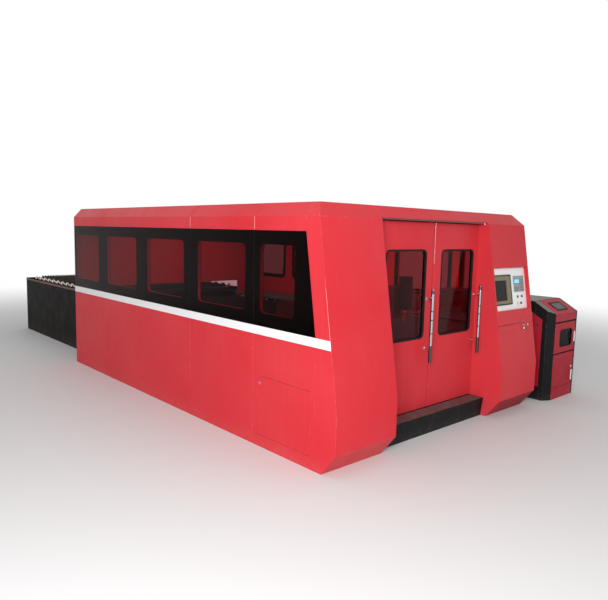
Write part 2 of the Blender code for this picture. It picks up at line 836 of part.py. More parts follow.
def build_leaf(side, start, end, pane_start, pane_end, bar_x):
    """One swing leaf: plate, rubber frame, tinted pane and pull bar."""
    hole = rounded(pane_start, pane_end, PANE_LOW, PANE_HIGH, PANE_ROUND)
    name = "door_" + side
    leaf = along(
        name,
        [rectangle(start, end, DOOR_BOTTOM, DOOR_TOP), hole],
        DOOR_Y,
        DOOR_Y + DOOR_PLATE,
        "red_paint",
    )
    hinge_origin(leaf, start, DOOR_Y)
    shrink = SEAT_GAP
    outer = rounded(
        pane_start + shrink, pane_end - shrink, PANE_LOW + shrink, PANE_HIGH - shrink,
        PANE_ROUND - shrink,
    )
    width = GASKET_WIDTH
    inner = rounded(
        pane_start + width, pane_end - width, PANE_LOW + width, PANE_HIGH - width,
        PANE_ROUND - width,
    )
    along(
        name + "_gasket", [outer, inner], DOOR_Y - GASKET_PROUD, DOOR_Y + DOOR_PLATE,
        "gasket_rubber",
    )
    width = GASKET_WIDTH + SEAT_GAP
    glass = rounded(
        pane_start + width, pane_end - width, PANE_LOW + width, PANE_HIGH - width,
        PANE_ROUND - width,
    )
    middle = DOOR_Y + DOOR_PLATE / 2
    along(
        name + "_pane", [glass], middle - PANE_PLATE / 2, middle + PANE_PLATE / 2, "door_glass"
    )
    build_bar(name + "_handle", bar_x)


def hinge_origin(made, x, y):
    """Moves a piece's origin to its upright hinge line without moving the piece."""
    before = made.matrix_basis.copy()
    made.data.transform(Matrix.Translation((-x, -y, 0)) @ before)
    made.matrix_basis = Matrix.Translation((x, y, 0))


def build_bar(name, bar_x):
    bar_y = DOOR_Y - BAR_OUT
    bar = rod(name, BAR_RADIUS, BAR_RADIUS, BAR_HIGH - BAR_LOW, "polished_steel", BAR_SIDES)
    bar.location = (bar_x, bar_y, BAR_LOW)
    round_edges(bar, BAR_RADIUS / 6)
    for count, z in enumerate((BAR_POST_LOW, BAR_POST_HIGH)):
        post = rod(
            "%s_post_%d" % (name, count), BAR_POST_RADIUS, BAR_POST_RADIUS, BAR_OUT - SEAT_GAP,
            None, BAR_SIDES,
        )
        turn = Matrix.Rotation(-math.pi / 2, 4, "X")
        post.matrix_basis = Matrix.Translation((bar_x, bar_y, z)) @ turn
        join(bar, post)


def build_doors():
    build_leaf(
        "left", PILLAR_WIDTH + HINGE_GAP, DOOR_SEAM_X - DOOR_SEAM / 2, LEFT_PANE_START,
        LEFT_PANE_END, LEFT_BAR_X,
    )
    build_leaf(
        "right", DOOR_SEAM_X + DOOR_SEAM / 2, TOWER_X - DOOR_GAP, RIGHT_PANE_START,
        RIGHT_PANE_END, RIGHT_BAR_X,
    )


def slope_plate(name, left, right, low, high, thick, out, slot, radius=SMALL_ROUND, holes=()):
    """A round-cornered plate lying parallel to the tower's leaning face."""
    middle_z = (low + high) / 2
    half = (high - low) / 2 / math.cos(FRONT_LEAN)
    middle = (left + right) / 2
    reach = (right - left) / 2
    outlines = [rounded(-reach, reach, -half, half, radius)]
    for x, z, hole_radius in holes:
        rise = (z - middle_z) / math.cos(FRONT_LEAN)
        outlines.append(circle_points(x - middle, rise, hole_radius))
    made = flat(name, outlines, thick, slot)
    return place_on_slope(made, TOWER_X + middle, middle_z, out + thick / 2)


def circle_points(u, v, radius):
    points = []
    for step in range(ROUND_SIDES):
        angle = math.tau * step / ROUND_SIDES
        points.append((u + radius * math.cos(angle), v + radius * math.sin(angle)))
    return points


def build_console():
    face = -NICHE_DEPTH
    stem = STEM_RADIUS + STEM_GAP
    holes = (
        (CONSOLE_LEFT_COLUMN, CONSOLE_UPPER_ROW, stem),
        (CONSOLE_RIGHT_COLUMN, CONSOLE_UPPER_ROW, stem),
    )
    gap = SEAT_GAP
    slope_plate(
        "console_panel", NICHE_SIDE + gap, TOWER_WIDTH - NICHE_SIDE - gap, NICHE_LOW + gap,
        NICHE_HIGH - gap, CONSOLE_PLATE, face - CONSOLE_PLATE, "console_silver", SMALL_ROUND,
        holes,
    )
    build_monitor(face)
    slope_plate(
        "keypad", KEYPAD_LEFT, KEYPAD_RIGHT, KEYPAD_LOW, KEYPAD_HIGH, KEYPAD_PROUD, face + gap,
        "keypad_grey",
    )
    display_left = KEYPAD_LEFT + DISPLAY_INSET
    display_high = KEYPAD_HIGH - DISPLAY_DROP
    slope_plate(
        "keypad_display", display_left, display_left + DISPLAY_WIDTH,
        display_high - DISPLAY_HEIGHT, display_high, DISPLAY_PROUD,
        face + gap + KEYPAD_PROUD + gap, "lcd_blue",
    )
    push_button(
        "start_button", CONSOLE_LEFT_COLUMN, CONSOLE_UPPER_ROW, face, BUTTON_RADIUS, BUTTON_CAP,
        "button_black",
    )
    push_button(
        "feed_button", CONSOLE_RIGHT_COLUMN, CONSOLE_UPPER_ROW, face, BUTTON_RADIUS, BUTTON_CAP,
        "button_black",
    )
    knob("mode_selector", CONSOLE_LEFT_COLUMN, CONSOLE_LOWER_ROW, face, "button_yellow")
    knob("key_switch", CONSOLE_KEY_COLUMN, CONSOLE_LOWER_ROW, face, "button_black")


def build_monitor(face):
    """A deep frame around a sunk screen; the frame is wider on its right."""
    middle_z = (MONITOR_LOW + MONITOR_HIGH) / 2
    lean = math.cos(FRONT_LEAN)
    half = (MONITOR_HIGH - MONITOR_LOW) / 2 / lean
    middle = (MONITOR_LEFT + MONITOR_RIGHT) / 2 + NICHE_SIDE
    reach = (MONITOR_RIGHT - MONITOR_LEFT) / 2
    outer = rounded(-reach, reach, -half, half, SMALL_ROUND)
    left = -reach + SCREEN_LEFT
    right = reach - SCREEN_RIGHT
    low = -half + SCREEN_BOTTOM / lean
    high = half - SCREEN_TOP / lean
    inner = rectangle(left, right, low, high)
    ring = flat("monitor_bezel", [outer, inner], MONITOR_PROUD, "bezel_gold")
    place_on_slope(ring, TOWER_X + middle, middle_z, face + SEAT_GAP + MONITOR_PROUD / 2)
    gap = SEAT_GAP
    thick = MONITOR_PROUD - SCREEN_SUNK
    glass = flat(
        "monitor_screen", [rectangle(left + gap, right - gap, low + gap, high - gap)], thick,
        "screen_glass",
    )
    place_on_slope(glass, TOWER_X + middle, middle_z, face + gap + thick / 2)


def push_button(name, x, z, face, radius, cap, slot):
    """A cap on a stem; the stem slides in a hole of the plate behind."""
    air = BUTTON_TRAVEL + BUTTON_AIR
    depth = CONSOLE_PLATE - air
    shoulder = cap * math.sin(math.pi / 6)
    made = turned(
        name,
        [
            (0, air + cap),
            (radius - shoulder / 2, air + cap),
            (radius, air + cap - shoulder / 2),
            (radius, air),
            (STEM_RADIUS, air),
            (STEM_RADIUS, -depth),
            (0, -depth),
        ],
        slot,
    )
    place_on_slope(made, TOWER_X + x, z, face)


def knob(name, x, z, face, slot):
    """A turning disc with a finger grip across it."""
    made = rod(name, KNOB_RADIUS, KNOB_RADIUS, KNOB_HEIGHT, slot)
    grip = KNOB_RADIUS / 3
    tool = box(
        name + "_grip",
        (-grip / 2, -KNOB_RADIUS * math.cos(math.pi / 6), KNOB_HEIGHT / 2),
        (grip / 2, KNOB_RADIUS * math.cos(math.pi / 6), KNOB_HEIGHT + KNOB_GRIP),
    )
    join(made, tool)
    tool.parent = made
    place_on_slope(made, TOWER_X + x, z, face + SEAT_GAP)


def build_button_plate():
    stem = STEM_RADIUS + STEM_GAP
    small = (
        ("power_button", POWER_X, POWER_Z, "button_pink"),
        ("lamp_button", LAMP_X, LAMP_Z, "button_white"),
        ("black_button_upper", UPPER_BLACK_X, UPPER_BLACK_Z, "button_black"),
        ("black_button_lower", LOWER_BLACK_X, LOWER_BLACK_Z, "button_black"),
    )
    holes = [(x, z, stem) for _, x, z, _ in small] + [(STOP_X, STOP_Z, stem)]
    gap = SEAT_GAP
    slope_plate(
        "button_plate", PLATE_LEFT + gap, PLATE_RIGHT - gap, PLATE_LOW + gap, PLATE_HIGH - gap,
        BUTTON_PLATE, BUTTON_PLATE_PROUD - BUTTON_PLATE, "red_paint", SMALL_ROUND, holes,
    )
    for name, x, z, slot in small:
        push_button(name, x, z, BUTTON_PLATE_PROUD, SMALL_BUTTON_RADIUS, BUTTON_CAP, slot)
    push_button(
        "emergency_stop", STOP_X, STOP_Z, BUTTON_PLATE_PROUD, STOP_RADIUS, STOP_CAP, "button_red"
    )


def build_drawer():
    """An open tray whose front lies flush in the leaning face, with the keyboard in it."""
    gap = DRAWER_RUN
    low = DRAWER_LOW + gap
    high = DRAWER_HIGH - DRAWER_TOP_GAP
    left = TOWER_X + DRAWER_LEFT + gap
    right = TOWER_X + DRAWER_RIGHT - gap
    sheet = DRAWER_SHEET
    front = [
        (slope_y(low), low),
        (slope_y(high), high),
        (slope_y(high) + DRAWER_FRONT, high),
        (slope_y(low) + DRAWER_FRONT, low),
    ]
    drawer = across("keyboard_drawer", [front], left, right, "red_paint")
    start = slope_y(low) + DRAWER_FRONT / 2
    side_top = low + DRAWER_SIDE_RISE
    tray = box("drawer_tray", (left, start, low), (right, DRAWER_BACK, side_top))
    hollow_start = slope_y(side_top) + DRAWER_FRONT
    cut(tray, box(
        "drawer_hollow",
        (left + sheet, hollow_start, low + sheet),
        (right - sheet, DRAWER_BACK - sheet, side_top + OVERRUN),
    ))
    join(drawer, tray)
    key_front = hollow_start + KEYBOARD_FRONT_GAP
    keys = box(
        "keyboard",
        (left + KEYBOARD_MARGIN, key_front, low + sheet + SEAT_GAP),
        (right - KEYBOARD_MARGIN, key_front + KEYBOARD_DEPTH, low + sheet + KEYBOARD_THICK),
        "button_black",
    )
    round_edges(keys, KEYBOARD_THICK / 6)


def joined_boxes(name, corners, slot):
    """One welded piece: the first box carries a union with each of the others."""
    made = box(name, corners[0][0], corners[0][1], slot)
    for count, (low, high) in enumerate(corners[1:]):
        join(made, box("%s_part_%02d" % (name, count), low, high))
    return made


def ledge(pallet_z, inner, wall_x, start, end, mirror):
    """A plate that a pallet's side bar runs on, from a wall to just inside the bar."""
    reach = inner + PALLET_BAR + LEDGE_LAP
    top = pallet_z - SEAT_GAP
    xs = [wall_x, reach]
    if mirror:
        xs = [WIDTH - reach, WIDTH - wall_x]
    return (xs[0], start, top - LEDGE_PLATE), (xs[1], end, top)


def build_bed():
    """Two box beams with guide rails and pallet ledges, tied across on feet."""
    corners = []
    inner = BED_INSET + BED_BEAM
    ties = (BED_START, (BED_START + BED_END - BED_TIE) / 2, BED_END - BED_TIE)
    for y in ties:
        corners.append(((INNER_LEFT, y, BED_LOW), (WIDTH - INNER_LEFT, y + BED_TIE, BED_TIE_TOP)))
    ledge_lap = BED_BEAM / 4
    for mirror in (False, True):
        xs = (BED_INSET, inner)
        if mirror:
            xs = (WIDTH - inner, WIDTH - BED_INSET)
        corners.append(((xs[0], BED_START, BED_LOW), (xs[1], BED_END, BED_HIGH)))
        middle = (xs[0] + xs[1]) / 2
        corners.append((
            (middle - RAIL_WIDTH / 2, BED_START, BED_HIGH - RAIL_HIGH),
            (middle + RAIL_WIDTH / 2, BED_END, BED_HIGH + RAIL_HIGH),
        ))
        for y in ties:
            corners.append((
                (middle - FOOT / 2, y - (FOOT - BED_TIE) / 2, 0),
                (middle + FOOT / 2, y + BED_TIE + (FOOT - BED_TIE) / 2, BED_LOW + OVERRUN),
            ))
        for pallet_z, inset in PALLET_LEVELS:
            corners.append(ledge(
                pallet_z, inset, inner - ledge_lap, INNER_PALLET_START, BED_END, mirror
            ))
    return joined_boxes("machine_bed", corners, "bed_steel")


def build_gantry():
    """The beam on its two rail trucks, the cross carriage and the cutting head."""
    rail_top = BED_HIGH + RAIL_HIGH
    middle = BED_INSET + BED_BEAM / 2
    truck_start = GANTRY_Y + (GANTRY_DEPTH - TRUCK_LENGTH) / 2
    reach = middle + TRUCK_WIDTH / 2
    corners = [(
        (middle - TRUCK_WIDTH / 2, GANTRY_Y, GANTRY_LOW),
        (WIDTH - middle + TRUCK_WIDTH / 2, GANTRY_Y + GANTRY_DEPTH, GANTRY_HIGH),
    )]
    for x in (middle - TRUCK_WIDTH / 2, WIDTH - reach):
        corners.append((
            (x, truck_start, rail_top + SEAT_GAP),
            (x + TRUCK_WIDTH, truck_start + TRUCK_LENGTH, TRUCK_HIGH),
        ))
        corners.append((
            (x, GANTRY_Y, TRUCK_HIGH - OVERRUN),
            (x + TRUCK_WIDTH, GANTRY_Y + GANTRY_DEPTH, GANTRY_LOW + OVERRUN),
        ))
    joined_boxes("gantry", corners, "gantry_aluminium")
    left = MIDDLE_X - CARRIAGE_WIDTH / 2
    right = MIDDLE_X + CARRIAGE_WIDTH / 2
    front = GANTRY_Y - SEAT_GAP - CARRIAGE_DEPTH
    joined_boxes(
        "cross_carriage",
        [
            ((left, front, CARRIAGE_LOW), (right, GANTRY_Y - SEAT_GAP, CARRIAGE_HIGH)),
            (
                (left, front, GANTRY_HIGH + SEAT_GAP),
                (right, GANTRY_Y + GANTRY_DEPTH / 2, GANTRY_HIGH + SEAT_GAP + CAP_PLATE),
            ),
        ],
        "gantry_aluminium",
    )
    back = front - SEAT_GAP
    head = box(
        "cutting_head",
        (MIDDLE_X - HEAD_WIDTH / 2, back - HEAD_DEPTH, HEAD_LOW),
        (MIDDLE_X + HEAD_WIDTH / 2, back, HEAD_HIGH),
        "gantry_aluminium",
    )
    round_edges(head, HEAD_WIDTH / 12)
    nozzle = rod(
        "head_nozzle", NOZZLE_TIP_RADIUS, NOZZLE_RADIUS, HEAD_LOW + OVERRUN - NOZZLE_TIP_Z
    )
    nozzle.location = (MIDDLE_X, back - HEAD_DEPTH / 2, NOZZLE_TIP_Z)
    join(head, nozzle)


def slat_outline(length):
    """A strip with a saw-toothed upper edge, the sheet rests on the points."""
    teeth = max(2, round(length / SLAT_TOOTH_PITCH))
    pitch = length / teeth
    valley = SLAT_HIGH * (1 - SLAT_TOOTH_SHARE)
    points = [(-length / 2, 0), (length / 2, 0), (length / 2, valley)]
    for count in range(teeth):
        right = length / 2 - count * pitch
        points.append((right - pitch / 2, SLAT_HIGH))
        points.append((right - pitch, valley))
    return points


def build_pallet(name, inset, start, base_z):
    """A welded frame with toothed slats standing in its side bars."""
    left = inset
    right = WIDTH - inset
    end = start + PALLET_LENGTH
    bar = PALLET_BAR
    outer = rectangle(left, right, start, end)
    inner = rectangle(left + bar, right - bar, start + bar, end - bar)
    frame = flat(name, [outer, inner], PALLET_BAR_HIGH, "slat_steel")
    frame.location = (0, 0, base_z + PALLET_BAR_HIGH / 2)
    reach = right - left - 2 * (bar - SLAT_EMBED)
    group = bpy.data.collections.new(name + "_slats")
    CUTTERS.children.link(group)
    for count in range(SLAT_COUNT):
        middle = start + bar + PALLET_END_SPACE + count * SLAT_PITCH
        slat = along(
            "%s_slat_%02d" % (name, count), [slat_outline(reach)], middle - SLAT_PLATE / 2,
            middle + SLAT_PLATE / 2,
        )
        slat.location.x = (left + right) / 2
        slat.location.z = base_z + PALLET_SLAT_BASE
        CUTTERS.objects.unlink(slat)
        group.objects.link(slat)
    step = frame.modifiers.new("slats", "BOOLEAN")
    step.operation = "UNION"
    step.solver = "EXACT"
    step.operand_type = "COLLECTION"
    step.collection = group
    return frame


def build_exchange_table():
    """Black side and end plates round the pallet bay, with two levels of ledges inside."""
    start = LENGTH + SEAT_GAP
    left = TABLE_INSET
    right = WIDTH - TABLE_INSET
    plate = TABLE_PLATE
    corners = [
        ((left, start, 0), (left + plate, TABLE_END, TABLE_SIDE_TOP)),
        ((right - plate, start, 0), (right, TABLE_END, TABLE_SIDE_TOP)),
        ((left, TABLE_END - plate, 0), (right, TABLE_END, TABLE_END_TOP)),
        ((left, start, 0), (right, start + plate, TABLE_FRONT_TOP)),
    ]
    for place in (start + TABLE_LENGTH / 3, start + 2 * TABLE_LENGTH / 3):
        corners.append((
            (left, place - TABLE_TIE / 2, TABLE_TIE_Z),
            (right, place + TABLE_TIE / 2, TABLE_TIE_Z + TABLE_TIE),
        ))
    ledge_end = TABLE_END - plate / 2
    for mirror in (False, True):
        for pallet_z, inset in PALLET_LEVELS:
            corners.append(ledge(pallet_z, inset, left + plate / 2, start, ledge_end, mirror))
    joined_boxes("exchange_table", corners, "table_black")


def cabinet_slope():
    return math.atan2(CABINET_TOP - CABINET_FRONT_TOP, CABINET_SLOPE_DEPTH)


def cabinet_recess(lean):
    """The room in front of the carcass that the red panels fill, from the side."""
    front = FRONT_PANEL + SEAT_GAP
    drop = (TOP_PANEL + SEAT_GAP) / math.cos(lean)
    return [
        (-OVERRUN, -OVERRUN),
        (front, -OVERRUN),
        (front, CABINET_FRONT_TOP + front * math.tan(lean) - drop),
        (CABINET_SLOPE_DEPTH + drop / math.tan(lean), CABINET_TOP),
        (CABINET_SLOPE_DEPTH + drop / math.tan(lean), CABINET_TOP + OVERRUN),
        (-OVERRUN, CABINET_TOP + OVERRUN),
    ]


def cut_cabinet_corner(carcass, left):
    """The upright chamfer at the front left corner, taller than the carcass at both ends."""
    slip = OVERRUN * CABINET_CORNER_DEPTH / CABINET_CORNER
    corner = flat(
        "cabinet_corner",
        [[
            (left - OVERRUN, -slip),
            (left + CABINET_CORNER + OVERRUN, -slip),
            (left - OVERRUN, CABINET_CORNER_DEPTH + slip),
        ]],
        CABINET_TOP + 2 * OVERRUN,
    )
    corner.location.z = CABINET_TOP / 2
    cut(carcass, corner)


def build_cabinet():
    """Black carcass open at the front, red insets in its sides, red panels in front of it."""
    lean = cabinet_slope()
    left = CABINET_X
    right = CABINET_X + CABINET_WIDTH
    outline = [
        (0, 0),
        (0, CABINET_FRONT_TOP),
        (CABINET_SLOPE_DEPTH, CABINET_TOP),
        (CABINET_DEPTH, CABINET_TOP),
        (CABINET_DEPTH, 0),
    ]
    carcass = across("cabinet_carcass", [outline], left, right, "black_paint")
    cut(carcass, across("cabinet_recess", [cabinet_recess(lean)], PANELS_LEFT, PANELS_RIGHT))
    cut_cabinet_corner(carcass, left)
    wall = CABINET_SHEET
    back = CABINET_DEPTH - wall
    shelf = SHELF_PLATE
    levels = (
        (LOWER_DOOR_LOW + wall, LOWER_DOOR_HIGH - wall),
        (UPPER_DOOR_LOW + wall, SHELF_Z),
        (SHELF_Z + shelf, SHELF_Z + SHELF_RISE),
        (SHELF_Z + SHELF_RISE + shelf, UPPER_DOOR_HIGH - wall),
    )
    for count, (low, high) in enumerate(levels):
        cut(carcass, box(
            "cabinet_level_%d" % count,
            (PANELS_LEFT + wall, -OVERRUN, low),
            (PANELS_RIGHT - wall, back, high),
        ))
    build_insets(carcass, left, right)
    build_cabinet_top(lean, PANELS_LEFT + SEAT_GAP, PANELS_RIGHT - SEAT_GAP)
    build_cabinet_front(PANELS_LEFT + HINGE_GAP, PANELS_RIGHT - HINGE_GAP)


def inset_outline(shrink):
    post = INSET_POST + shrink
    low = INSET_LOW + shrink
    run = (INSET_TOP - INSET_FRONT_TOP) / math.tan(cabinet_slope())
    return [
        (post, low),
        (CABINET_DEPTH - post, low),
        (CABINET_DEPTH - post, INSET_TOP - shrink),
        (INSET_POST + run + shrink, INSET_TOP - shrink),
        (post, INSET_FRONT_TOP - shrink),
    ]


def build_insets(carcass, left, right):
    depth = INSET_PLATE + INSET_SUNK + SEAT_GAP
    for side, face, inward in (("left", left, 1), ("right", right, -1)):
        ends = wall_ends(face, inward, -OVERRUN, depth)
        cut(carcass, across("inset_pocket_" + side, [inset_outline(0)], ends[0], ends[1]))
        ends = wall_ends(face, inward, INSET_SUNK, INSET_SUNK + INSET_PLATE)
        across(
            "cabinet_inset_" + side, [inset_outline(SEAT_GAP)], ends[0], ends[1], "cabinet_red"
        )


def build_cabinet_top(lean, left, right):
    """The folded red panel: a short upright band and the sloping desk above it."""
    drop = TOP_PANEL / math.cos(lean)
    outline = [
        (0, TOP_BAND_LOW),
        (0, CABINET_FRONT_TOP),
        (CABINET_SLOPE_DEPTH, CABINET_TOP),
        (CABINET_SLOPE_DEPTH + TOP_PANEL * math.sin(lean), CABINET_TOP - TOP_PANEL * math.cos(lean)),
        (FRONT_PANEL, CABINET_FRONT_TOP + FRONT_PANEL * math.tan(lean) - drop),
        (FRONT_PANEL, TOP_BAND_LOW),
    ]
    across("cabinet_top_panel", [outline], left, right, "cabinet_red")
    reach = (SCREEN_PLATE_RIGHT - SCREEN_PLATE_LEFT) / 2
    half = SCREEN_PLATE_LENGTH / 2
    outer = rounded(-reach, reach, -half, half, SMALL_ROUND)
    border = SCREEN_BORDER
    screen = flat("cabinet_display", [outer], SCREEN_PLATE_THICK, "display_grey")
    window = flat(
        "display_window",
        [rectangle(-reach + border, reach - border, -half + border, half - border)],
        SCREEN_PLATE_THICK,
    )
    window.location = (0, 0, SCREEN_PLATE_THICK * math.cos(math.pi / 3))
    cut(screen, window)
    window.parent = screen
    along_slope = SCREEN_PLATE_START + half
    spot = Vector((
        left + (SCREEN_PLATE_LEFT + SCREEN_PLATE_RIGHT) / 2,
        along_slope * math.cos(lean),
        CABINET_FRONT_TOP + along_slope * math.sin(lean),
    ))
    normal = Vector((0, -math.sin(lean), math.cos(lean)))
    spot += normal * (SEAT_GAP + SCREEN_PLATE_THICK / 2)
    screen.matrix_basis = Matrix.Translation(spot) @ Matrix.Rotation(lean, 4, "X")


def build_cabinet_front(left, right):
    hole = rounded(
        left + CABINET_PANE_LEFT, left + CABINET_PANE_RIGHT, CABINET_PANE_LOW, CABINET_PANE_HIGH,
        CABINET_PANE_ROUND,
    )
    upper = along(
        "cabinet_upper_door",
        [rectangle(left, right, UPPER_DOOR_LOW, UPPER_DOOR_HIGH), hole],
        0,
        FRONT_PANEL,
        "cabinet_red",
    )
    hinge_origin(upper, left, 0)
    gap = SEAT_GAP
    glass = rounded(
        left + CABINET_PANE_LEFT + gap, left + CABINET_PANE_RIGHT - gap, CABINET_PANE_LOW + gap,
        CABINET_PANE_HIGH - gap, CABINET_PANE_ROUND - gap,
    )
    middle = FRONT_PANEL / 2
    along(
        "cabinet_upper_pane", [glass], middle - CABINET_PANE_PLATE / 2,
        middle + CABINET_PANE_PLATE / 2, "door_glass",
    )
    lower = along(
        "cabinet_lower_door",
        [rectangle(left, right, LOWER_DOOR_LOW, LOWER_DOOR_HIGH)],
        0,
        FRONT_PANEL,
        "cabinet_red",
    )
    hinge_origin(lower, left, 0)
    lock = rod(
        "cabinet_lock", CABINET_LOCK_RADIUS, CABINET_LOCK_RADIUS,
        CABINET_LOCK_PROUD + FRONT_PANEL / 2,
    )
    turn = Matrix.Rotation(-math.pi / 2, 4, "X")
    lock.matrix_basis = Matrix.Translation(
        (left + CABINET_LOCK_X, -CABINET_LOCK_PROUD, CABINET_LOCK_Z)
    ) @ turn
    join(lower, lock)
    box(
        "cabinet_kick", (left, 0, 0), (right, FRONT_PANEL, KICK_TOP), "cabinet_red"
    )
    build_pull("cabinet_upper_handle", left + UPPER_PULL_X, UPPER_PULL_LOW)
    build_pull("cabinet_lower_handle", left + LOWER_PULL_X, LOWER_PULL_LOW)


def build_pull(name, x, low):
    """A bent round bar with both ends on the door."""
    high = low + PULL_LENGTH
    out = PULL_OUT
    bend = PULL_BEND
    points = [(-SEAT_GAP, low), (-out + bend, low)]
    for step in range(1, ROUND_STEPS):
        angle = step / ROUND_STEPS * math.pi / 2
        points.append((-out + bend - bend * math.sin(angle), low + bend - bend * math.cos(angle)))
    points.append((-out, low + bend))
    upper = [(y, low + high - z) for y, z in points]
    points += upper[::-1]
    curve = bpy.data.curves.new(name, "CURVE")
    curve.dimensions = "3D"
    curve.bevel_depth = PULL_RADIUS
    curve.bevel_resolution = 2
    curve.use_fill_caps = True
    line = curve.splines.new("POLY")
    line.points.add(len(points) - 1)
    for spot, (y, z) in zip(line.points, points):
        spot.co = (0, y, z, 1)
    pull = curve_to_mesh(name, curve, "pull_white")
    pull.location = (x, 0, 0)
    pull.data.shade_smooth()


def build_sides():
    for side, face, inward in (("left", 0, 1), ("right", WIDTH, -1)):
        build_side_panel("side_panel_" + side, face, inward)
        build_stripe("stripe_" + side, face, inward)
        build_window_wall(side, face, inward)


clear_scene()
PIECES = new_collection(MODEL_NAME)
CUTTERS = new_collection("cutters")
ROOT = bpy.data.objects.new("model_root", None)
PIECES.objects.link(ROOT)
ROOT.location = ORIGIN
PAINTS = {name: make_material(name, *look) for name, look in MATERIALS.items()}

build_pillar()
build_tower()
build_header()
build_step()
build_sides()
build_access_door()
build_roof()
build_rear_wall()
build_doors()
build_console()
build_button_plate()
build_drawer()
build_bed()
build_gantry()
build_pallet("pallet_inner", INNER_PALLET_INSET, INNER_PALLET_START, INNER_PALLET_Z)
build_pallet("pallet_outer", OUTER_PALLET_INSET, OUTER_PALLET_START, OUTER_PALLET_Z)
build_exchange_table()
build_cabinet()
bpy.context.view_layer.update()
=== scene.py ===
"""Looks for the enclosed sheet cutting machine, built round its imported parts."""

import json
import math

import bmesh
import bpy
from mathutils import Matrix, Vector


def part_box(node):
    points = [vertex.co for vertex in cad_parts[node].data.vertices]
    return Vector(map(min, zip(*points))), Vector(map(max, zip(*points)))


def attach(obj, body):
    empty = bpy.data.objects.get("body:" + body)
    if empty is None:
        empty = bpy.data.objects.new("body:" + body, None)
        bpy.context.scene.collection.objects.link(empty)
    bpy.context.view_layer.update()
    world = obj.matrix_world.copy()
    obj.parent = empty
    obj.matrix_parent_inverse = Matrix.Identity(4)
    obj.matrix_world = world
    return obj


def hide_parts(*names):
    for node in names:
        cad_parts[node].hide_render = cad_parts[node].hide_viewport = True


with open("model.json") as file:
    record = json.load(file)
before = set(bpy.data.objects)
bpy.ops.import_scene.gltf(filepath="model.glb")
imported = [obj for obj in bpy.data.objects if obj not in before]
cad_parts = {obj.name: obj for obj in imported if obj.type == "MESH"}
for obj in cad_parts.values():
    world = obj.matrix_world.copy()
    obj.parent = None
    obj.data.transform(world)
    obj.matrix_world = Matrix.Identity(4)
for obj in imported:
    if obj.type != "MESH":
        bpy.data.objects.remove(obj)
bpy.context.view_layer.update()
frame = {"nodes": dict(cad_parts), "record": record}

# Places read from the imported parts. CORNER is the enclosure's front left corner on the floor.
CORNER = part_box("front_pillar")[0]
TOWER_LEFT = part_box("control_tower")[0].x - CORNER.x
MACHINE_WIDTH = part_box("control_tower")[1].x - CORNER.x
WALL_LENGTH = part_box("side_panel_left")[1].y - CORNER.y
CABINET_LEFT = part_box("cabinet_carcass")[0].x - CORNER.x
BODY_OF = {node: body for body, nodes in frame["record"]["behaviour"]["bodies"].items() for node in nodes}
SLOT_OF = {row["node"]: row["material_slot"] for row in frame["record"]["subparts"]}

# The lean of the front above its belly line, the bays of the side walls and the windows in them.
LEAN = math.radians(9.25)
BELLY_Z = 0.536
BAY = 1.07
WINDOW_LOW, WINDOW_HIGH = 1.21, 1.81
SLOPE_RIGHT = Vector((1, 0, 0))
SLOPE_UP = Vector((0, math.sin(LEAN), math.cos(LEAN)))
SLOPE_OUT = SLOPE_RIGHT.cross(SLOPE_UP)

# The slats of a pallet, and how near two points lie that a weld makes one.
SLAT_COUNT, SLAT_PITCH = 14, 0.213
WELD = 0.00001


def at(x, y, z):
    """A point given from the enclosure's front left corner, in the row frame."""
    return CORNER + Vector((x, y, z))


# Node helpers

def feed(tree, socket, value):
    if isinstance(value, bpy.types.NodeSocket):
        tree.links.new(value, socket)
    elif value is not None:
        socket.default_value = value


def add(tree, kind, inputs=None, **settings):
    """A new node: first its settings, then each input linked or set."""
    node = tree.nodes.new(kind)
    for key, value in settings.items():
        setattr(node, key, value)
    for key, value in (inputs or {}).items():
        feed(tree, node.inputs[key], value)
    return node


def calc(tree, operation, first, second=None, clamp=False):
    node = add(tree, "ShaderNodeMath", {0: first, 1: second}, operation=operation, use_clamp=clamp)
    return node.outputs[0]


def blend_colour(tree, factor, first, second):
    node = add(tree, "ShaderNodeMix", {"Factor": factor, 6: first, 7: second}, data_type="RGBA")
    return node.outputs[2]


def remap(tree, value, low, high, to_low=0.0, to_high=1.0, **settings):
    inputs = {"Value": value, "From Min": low, "From Max": high, "To Min": to_low, "To Max": to_high}
    return add(tree, "ShaderNodeMapRange", inputs, clamp=True, **settings).outputs["Result"]


def place(tree, scale=(1, 1, 1)):
    """Object coordinates stretched by a scale."""
    spot = add(tree, "ShaderNodeTexCoord").outputs["Object"]
    return add(tree, "ShaderNodeVectorMath", {0: spot, 1: scale}, operation="MULTIPLY").outputs[0]


def grain(tree, vector, scale, detail=2.0, rough=0.5):
    inputs = {"Vector": vector, "Scale": scale, "Detail": detail, "Roughness": rough}
    return add(tree, "ShaderNodeTexNoise", inputs).outputs["Fac"]


NUMBER, COLOUR, ARROW = "NodeSocketFloat", "NodeSocketColor", "NodeSocketVector"
COUNT, SHAPE, SKIN = "NodeSocketInt", "NodeSocketGeometry", "NodeSocketMaterial"


def shader_group(name, inputs):
    """An empty group with named inputs, for a colour, a roughness and a relief height."""
    tree = bpy.data.node_groups.new(name, "ShaderNodeTree")
    for label, kind, value in inputs:
        tree.interface.new_socket(label, in_out="INPUT", socket_type=kind).default_value = value
    for label, kind in (("Colour", COLOUR), ("Roughness", NUMBER), ("Height", NUMBER)):
        tree.interface.new_socket(label, in_out="OUTPUT", socket_type=kind)
    return tree, add(tree, "NodeGroupInput").outputs


def close_group(tree, colour, rough, height):
    add(tree, "NodeGroupOutput", {"Colour": colour, "Roughness": rough, "Height": height})
    return tree


